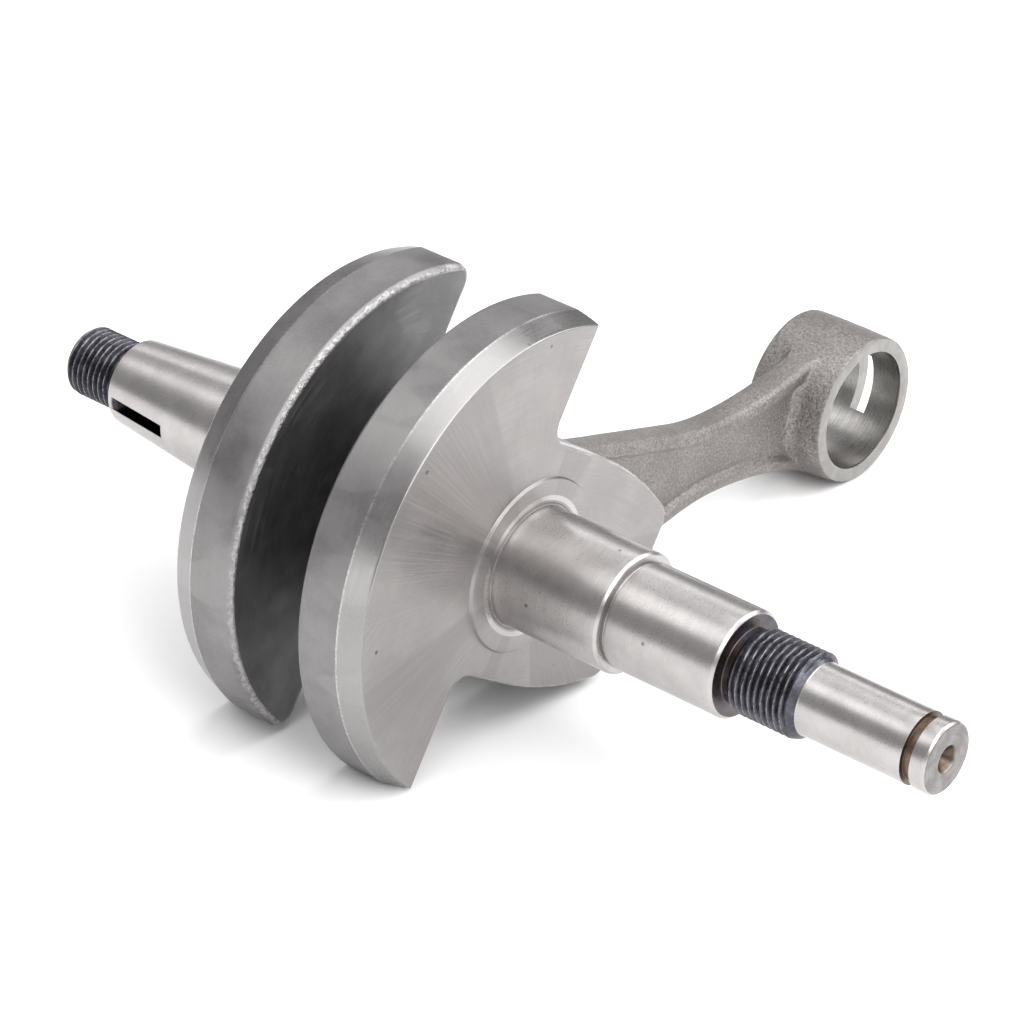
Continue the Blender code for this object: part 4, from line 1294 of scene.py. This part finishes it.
def forged_finish(name, colour):
    """Blasted forging: a close grain of dark facets, bright facets lightened as painted glints,
    and a cloudy tone.
    """
    f = rod_finish(name, colour)
    grain_and_glints = f.noise(f.space, 2600.0, 4.0, 0.75)
    fine = f.cells(4200.0)
    f.clouded(f.noise(f.space, 130.0, 4.0, 0.6), 0.36, 0.66, 0.88, 1.1)
    f.under(f.span(grain_and_glints, 0.38, 0.56), 0.60)
    # Painted glints: the brightest grains are lightened as sparkle.
    f.over(f.span(grain_and_glints, 0.55, 0.68, 0.0, 0.6), 1.6)
    f.bump(grain_and_glints, 0.0002, 0.8)
    f.bump(fine, 0.00006, 0.5)
    rough = f.span(grain_and_glints, 0.35, 0.65, 0.36, 0.52)
    return f.done(f.plus(rough, f.span(fine, 0.1, 0.6, -0.03, 0.05)))


def machined_finish(name, colour, smoothest, roughest):
    """Machined faces and honed bores of the rod, with fine lines round the small end's axis."""
    f = rod_finish(name, colour)
    radius = f.length(f.math("SUBTRACT", f.out, ROD_LENGTH), f.across)
    lines = f.marks(radius, 5200.0, 5200.0, angle=f.x)
    speckle = f.noise(f.space, 4000.0, 2.0)
    f.clouded(f.noise(f.space, 420.0, 4.0, 0.6), 0.36, 0.66, 0.86, 1.05)
    f.over(f.span(speckle, 0.5, 0.7, 0.0, 0.3), 0.7)
    f.bump(lines, 0.00001, 0.4)
    rough = f.span(lines, 0.3, 0.7, smoothest, roughest)
    return f.done(f.plus(rough, f.span(speckle, 0.4, 0.7, 0.0, 0.04)))


def bearing_finish(name, colour, rough):
    """Ground and polished bearing steel with faint lines round its axis."""
    f = rod_finish(name, colour)
    lines = f.noise(f.vector(f.times(f.x, 9000.0), 0.0), 1.0)
    f.clouded(f.noise(f.space, 600.0, 3.0), 0.35, 0.65, 0.92, 1.03)
    f.bump(lines, 0.000005, 0.3)
    return f.done(f.span(lines, 0.3, 0.7, rough, rough + 0.08))


# ---------------------------------------------------------------- operators


def crank_materials(scene, label, worn):
    colours = scene.steel_colours
    return [
        shaded_inner_finish(f"{label}_inner_face_shaded", colours.inner),
        rim_finish(f"{label}_rim", colours.rim, worn),
        face_finish(f"{label}_outer_face", colours.turned),
        ground_finish(f"{label}_ground_seats", colours.ground, colours.oxide, scene.shaft_sizes),
        oxide_finish(f"{label}_oxide", colours.oxide, colours.tint, colours.ground),
        end_finish(f"{label}_end", colours.turned, shade(colours.tint, 0.9)),
    ]


def make_crank_half(context, drive):
    scene = context.scene
    node = "drive_side_crank_half" if drive else "flywheel_side_crank_half"
    shell = crank_half(scene.web_sizes, scene.shaft_sizes, drive)
    materials = crank_materials(scene, "drive" if drive else "flywheel", 0.0 if drive else 1.0)
    mesh = shell.mesh(node + "_skin", materials, 32, (SHAFT_AXIS, CRANK_TURN))
    finished(node + "_skin", mesh, "crank", [node])


class CRANKSHAFT_OT_drive_half(bpy.types.Operator):
    """Build the drive side crank half with its seats, thread, groove and centre"""

    bl_idname = "crankshaft.drive_half"
    bl_label = "Drive side crank half"

    def execute(self, context):
        make_crank_half(context, True)
        return {"FINISHED"}


class CRANKSHAFT_OT_flywheel_half(bpy.types.Operator):
    """Build the flywheel side crank half with its taper, key seat and thread"""

    bl_idname = "crankshaft.flywheel_half"
    bl_label = "Flywheel side crank half"

    def execute(self, context):
        make_crank_half(context, False)
        return {"FINISHED"}


class CRANKSHAFT_OT_connecting_rod(bpy.types.Operator):
    """Build the connecting rod with its recesses, fillets, bores and oil slot"""

    bl_idname = "crankshaft.connecting_rod"
    bl_label = "Connecting rod"

    def execute(self, context):
        scene = context.scene
        colours = scene.steel_colours
        materials = [
            forged_finish("rod_blasted_skin", colours.forged),
            machined_finish("rod_machined_faces", colours.machined, 0.34, 0.44),
            machined_finish("rod_honed_bores", colours.machined, 0.24, 0.34),
        ]
        mesh = connecting_rod(scene.rod_sizes).mesh(
            "connecting_rod_skin", materials, 40, (PIN_AXIS, ROD_TURN)
        )
        finished("connecting_rod_skin", mesh, "rod", ["connecting_rod"])
        return {"FINISHED"}


class CRANKSHAFT_OT_crankpin(bpy.types.Operator):
    """Build the crankpin with its chamfers and centres"""

    bl_idname = "crankshaft.crankpin"
    bl_label = "Crankpin"

    def execute(self, context):
        sizes, colours = context.scene.bearing_sizes, context.scene.steel_colours
        shell = bar_shell(sizes.pin_radius, sizes.pin_half, 0.5 * MM, 128, 0.9 * MM)
        materials = [bearing_finish("crankpin_steel_skin", colours.bearing, 0.12)]
        mesh = shell.mesh("crankpin_skin", materials, 40, (PIN_AXIS, CRANK_TURN))
        finished("crankpin_skin", mesh, "crank", ["crankpin"])
        return {"FINISHED"}


class CRANKSHAFT_OT_needle_bearing(bpy.types.Operator):
    """Build the big end's needle cage and its rollers"""

    bl_idname = "crankshaft.needle_bearing"
    bl_label = "Needle bearing"

    def execute(self, context):
        sizes, colours = context.scene.bearing_sizes, context.scene.steel_colours
        cage = [bearing_finish("needle_cage_steel", colours.cage, 0.38)]
        mesh = cage_shell(sizes).mesh("needle_cage_skin", cage, 35, (PIN_AXIS, ROD_TURN))
        finished("needle_cage_skin", mesh, "cage", ["big_end_needle_cage"])
        steel = [bearing_finish("needle_roller_steel", colours.bearing, 0.14)]
        for i in range(sizes.rollers):
            turn = ROD_TURN + TURN * i / sizes.rollers
            centre = PIN_AXIS + np.array([0.0, math.cos(turn), math.sin(turn)]) * sizes.orbit
            shell = bar_shell(sizes.roller_radius, sizes.roller_half, 0.25 * MM, 32)
            name = f"needle_roller_{i + 1:02d}"
            mesh = shell.mesh(name + "_skin", steel, 40, (centre, turn))
            finished(name + "_skin", mesh, f"roller_{i + 1:02d}", [name])
        return {"FINISHED"}


class CRANKSHAFT_OT_thrust_washers(bpy.types.Operator):
    """Build the two thrust washers beside the big end"""

    bl_idname = "crankshaft.thrust_washers"
    bl_label = "Thrust washers"

    def execute(self, context):
        sizes, colours = context.scene.bearing_sizes, context.scene.steel_colours
        steel = [bearing_finish("thrust_washer_steel", colours.cage, 0.3)]
        near, far, soft = sizes.washer_near, sizes.washer_far, 0.12 * MM
        corners = [
            (near, (sizes.washer_inner + sizes.washer_outer) / 2, 0.0),
            (near, sizes.washer_outer, soft),
            (far, sizes.washer_outer, soft),
            (far, sizes.washer_inner, soft),
            (near, sizes.washer_inner, soft),
        ]
        for side_name, side in (("drive_side", 1), ("flywheel_side", -1)):
            node = f"thrust_washer_{side_name}"
            shell = ring_shell([(side * x, r, e) for x, r, e in corners], 128)
            mesh = shell.mesh(node + "_skin", steel, 40, (PIN_AXIS, CRANK_TURN))
            finished(node + "_skin", mesh, f"washer_{side_name}", [node])
        return {"FINISHED"}


# The floor's half side, and how far it lies under the part.
FLOOR_HALF, FLOOR_DROP = 3.0, 0.2 * MM
# Every light faces this point. Each has its name, place, two sides and watts.
LIGHTS_AIM = Vector((0.0, 0.0, 0.03))
LIGHTS = (
    ("overhead_softbox", (0.40, 0.15, 1.4), (1.8, 1.8), 24.0),
    ("front_left_softbox", (-0.53, -0.36, 0.78), (0.6, 0.42), 1.5),
    ("back_left_softbox", (-0.60, 0.62, 0.66), (0.8, 0.15), 1.1),
    ("front_low_softbox", (0.0, -1.1, 0.1), (0.4, 0.26), 0.8),
    ("right_softbox", (1.2, -0.4, 0.9), (1.0, 1.0), 13.0),
    ("back_right_softbox", (0.7, 1.1, 0.9), (1.0, 1.0), 9.0),
)
# The room's brightness from straight below, 0, to straight above, 1.
ROOM_TONES = ((0.0, 0.30), (0.15, 0.38), (0.4, 0.46), (0.7, 0.6), (1.0, 0.6))


def softbox(name, place, size, power):
    """A rectangular light that faces the part."""
    lamp = bpy.data.lights.new(name, "AREA")
    lamp.shape = "RECTANGLE"
    lamp.size, lamp.size_y = size
    lamp.energy = power
    obj = bpy.data.objects.new(name, lamp)
    obj.location = place
    obj.rotation_euler = (LIGHTS_AIM - Vector(place)).to_track_quat("-Z", "Y").to_euler()
    bpy.context.scene.collection.objects.link(obj)


class CRANKSHAFT_OT_stage(bpy.types.Operator):
    """Build the floor, the soft lights and the camera"""

    bl_idname = "crankshaft.stage"
    bl_label = "Stage"

    def execute(self, context):
        scene = context.scene
        stage, colours = scene.stage_settings, scene.steel_colours
        mesh = bpy.data.meshes.new("floor")
        corners = [
            (x * FLOOR_HALF, y * FLOOR_HALF, -FLOOR_DROP) for x, y in ((-1, -1), (1, -1), (1, 1), (-1, 1))
        ]
        mesh.from_pydata(corners, [], [(0, 1, 2, 3)])
        floor_material = bpy.data.materials.new("floor_paint")
        floor_material.use_nodes = True
        shader = floor_material.node_tree.nodes["Principled BSDF"]
        shader.inputs["Base Color"].default_value = (*colours.floor, 1.0)
        shader.inputs["Roughness"].default_value = 0.9
        mesh.materials.append(floor_material)
        floor = bpy.data.objects.new("floor", mesh)
        scene.collection.objects.link(floor)

        world = bpy.data.worlds.new("soft_room")
        world.use_nodes = True
        tree = world.node_tree
        background = tree.nodes["Background"]
        where = tree.nodes.new("ShaderNodeTexCoord")
        split = tree.nodes.new("ShaderNodeSeparateXYZ")
        ramp = tree.nodes.new("ShaderNodeValToRGB")
        tree.links.new(where.outputs["Generated"], split.inputs[0])
        tree.links.new(split.outputs["Z"], ramp.inputs["Fac"])
        tree.links.new(ramp.outputs["Color"], background.inputs["Color"])
        stops = ramp.color_ramp.elements
        for stop, (position, tone) in zip(stops, (ROOM_TONES[0], ROOM_TONES[-1])):
            stop.position, stop.color = position, (tone, tone, tone, 1.0)
        for position, tone in ROOM_TONES[1:-1]:
            stops.new(position).color = (tone, tone, tone, 1.0)
        background.inputs["Strength"].default_value = stage.sky
        scene.world = world

        for light in LIGHTS:
            softbox(*light)

        camera_data = bpy.data.cameras.new("camera")
        camera_data.lens = stage.camera_lens
        camera_data.sensor_width = 36.0
        camera_data.clip_start, camera_data.clip_end = 0.01, 20.0
        camera = bpy.data.objects.new("camera", camera_data)
        camera.location = stage.camera_at
        camera.rotation_euler = Euler(stage.camera_turn)
        scene.collection.objects.link(camera)
        scene.camera = camera
        scene.view_settings.view_transform = "Standard"
        return {"FINISHED"}


OPERATORS = (
    CRANKSHAFT_OT_stage,
    CRANKSHAFT_OT_drive_half,
    CRANKSHAFT_OT_flywheel_half,
    CRANKSHAFT_OT_connecting_rod,
    CRANKSHAFT_OT_crankpin,
    CRANKSHAFT_OT_needle_bearing,
    CRANKSHAFT_OT_thrust_washers,
)
SETTINGS = {
    "web_sizes": WebSizes,
    "shaft_sizes": ShaftSizes,
    "rod_sizes": RodSizes,
    "bearing_sizes": BearingSizes,
    "steel_colours": Colours,
    "stage_settings": StageSettings,
}


class CRANKSHAFT_PT_panel(bpy.types.Panel):
    """Lists the crankshaft's pieces, sizes and colours"""

    bl_idname = "CRANKSHAFT_PT_panel"
    bl_label = "Crankshaft"
    bl_space_type = "VIEW_3D"
    bl_region_type = "UI"
    bl_category = "Crankshaft"

    def draw(self, context):
        for operator in OPERATORS:
            self.layout.operator(operator.bl_idname)
        for name in SETTINGS:
            box = self.layout.box()
            group = getattr(context.scene, name)
            for key in group.bl_rna.properties.keys():
                if key not in ("rna_type", "name"):
                    box.prop(group, key)


def register():
    for group in SETTINGS.values():
        bpy.utils.register_class(group)
    for name, group in SETTINGS.items():
        setattr(bpy.types.Scene, name, PointerProperty(type=group))
    for operator in OPERATORS:
        bpy.utils.register_class(operator)
    bpy.utils.register_class(CRANKSHAFT_PT_panel)


def unregister():
    bpy.utils.unregister_class(CRANKSHAFT_PT_panel)
    for operator in reversed(OPERATORS):
        bpy.utils.unregister_class(operator)
    for name, group in SETTINGS.items():
        delattr(bpy.types.Scene, name)
        bpy.utils.unregister_class(group)


def main():
    register()
    for operator in OPERATORS:
        name = operator.bl_idname.split(".")[1]
        getattr(bpy.ops.crankshaft, name)()


if __name__ == "__main__":
    main()
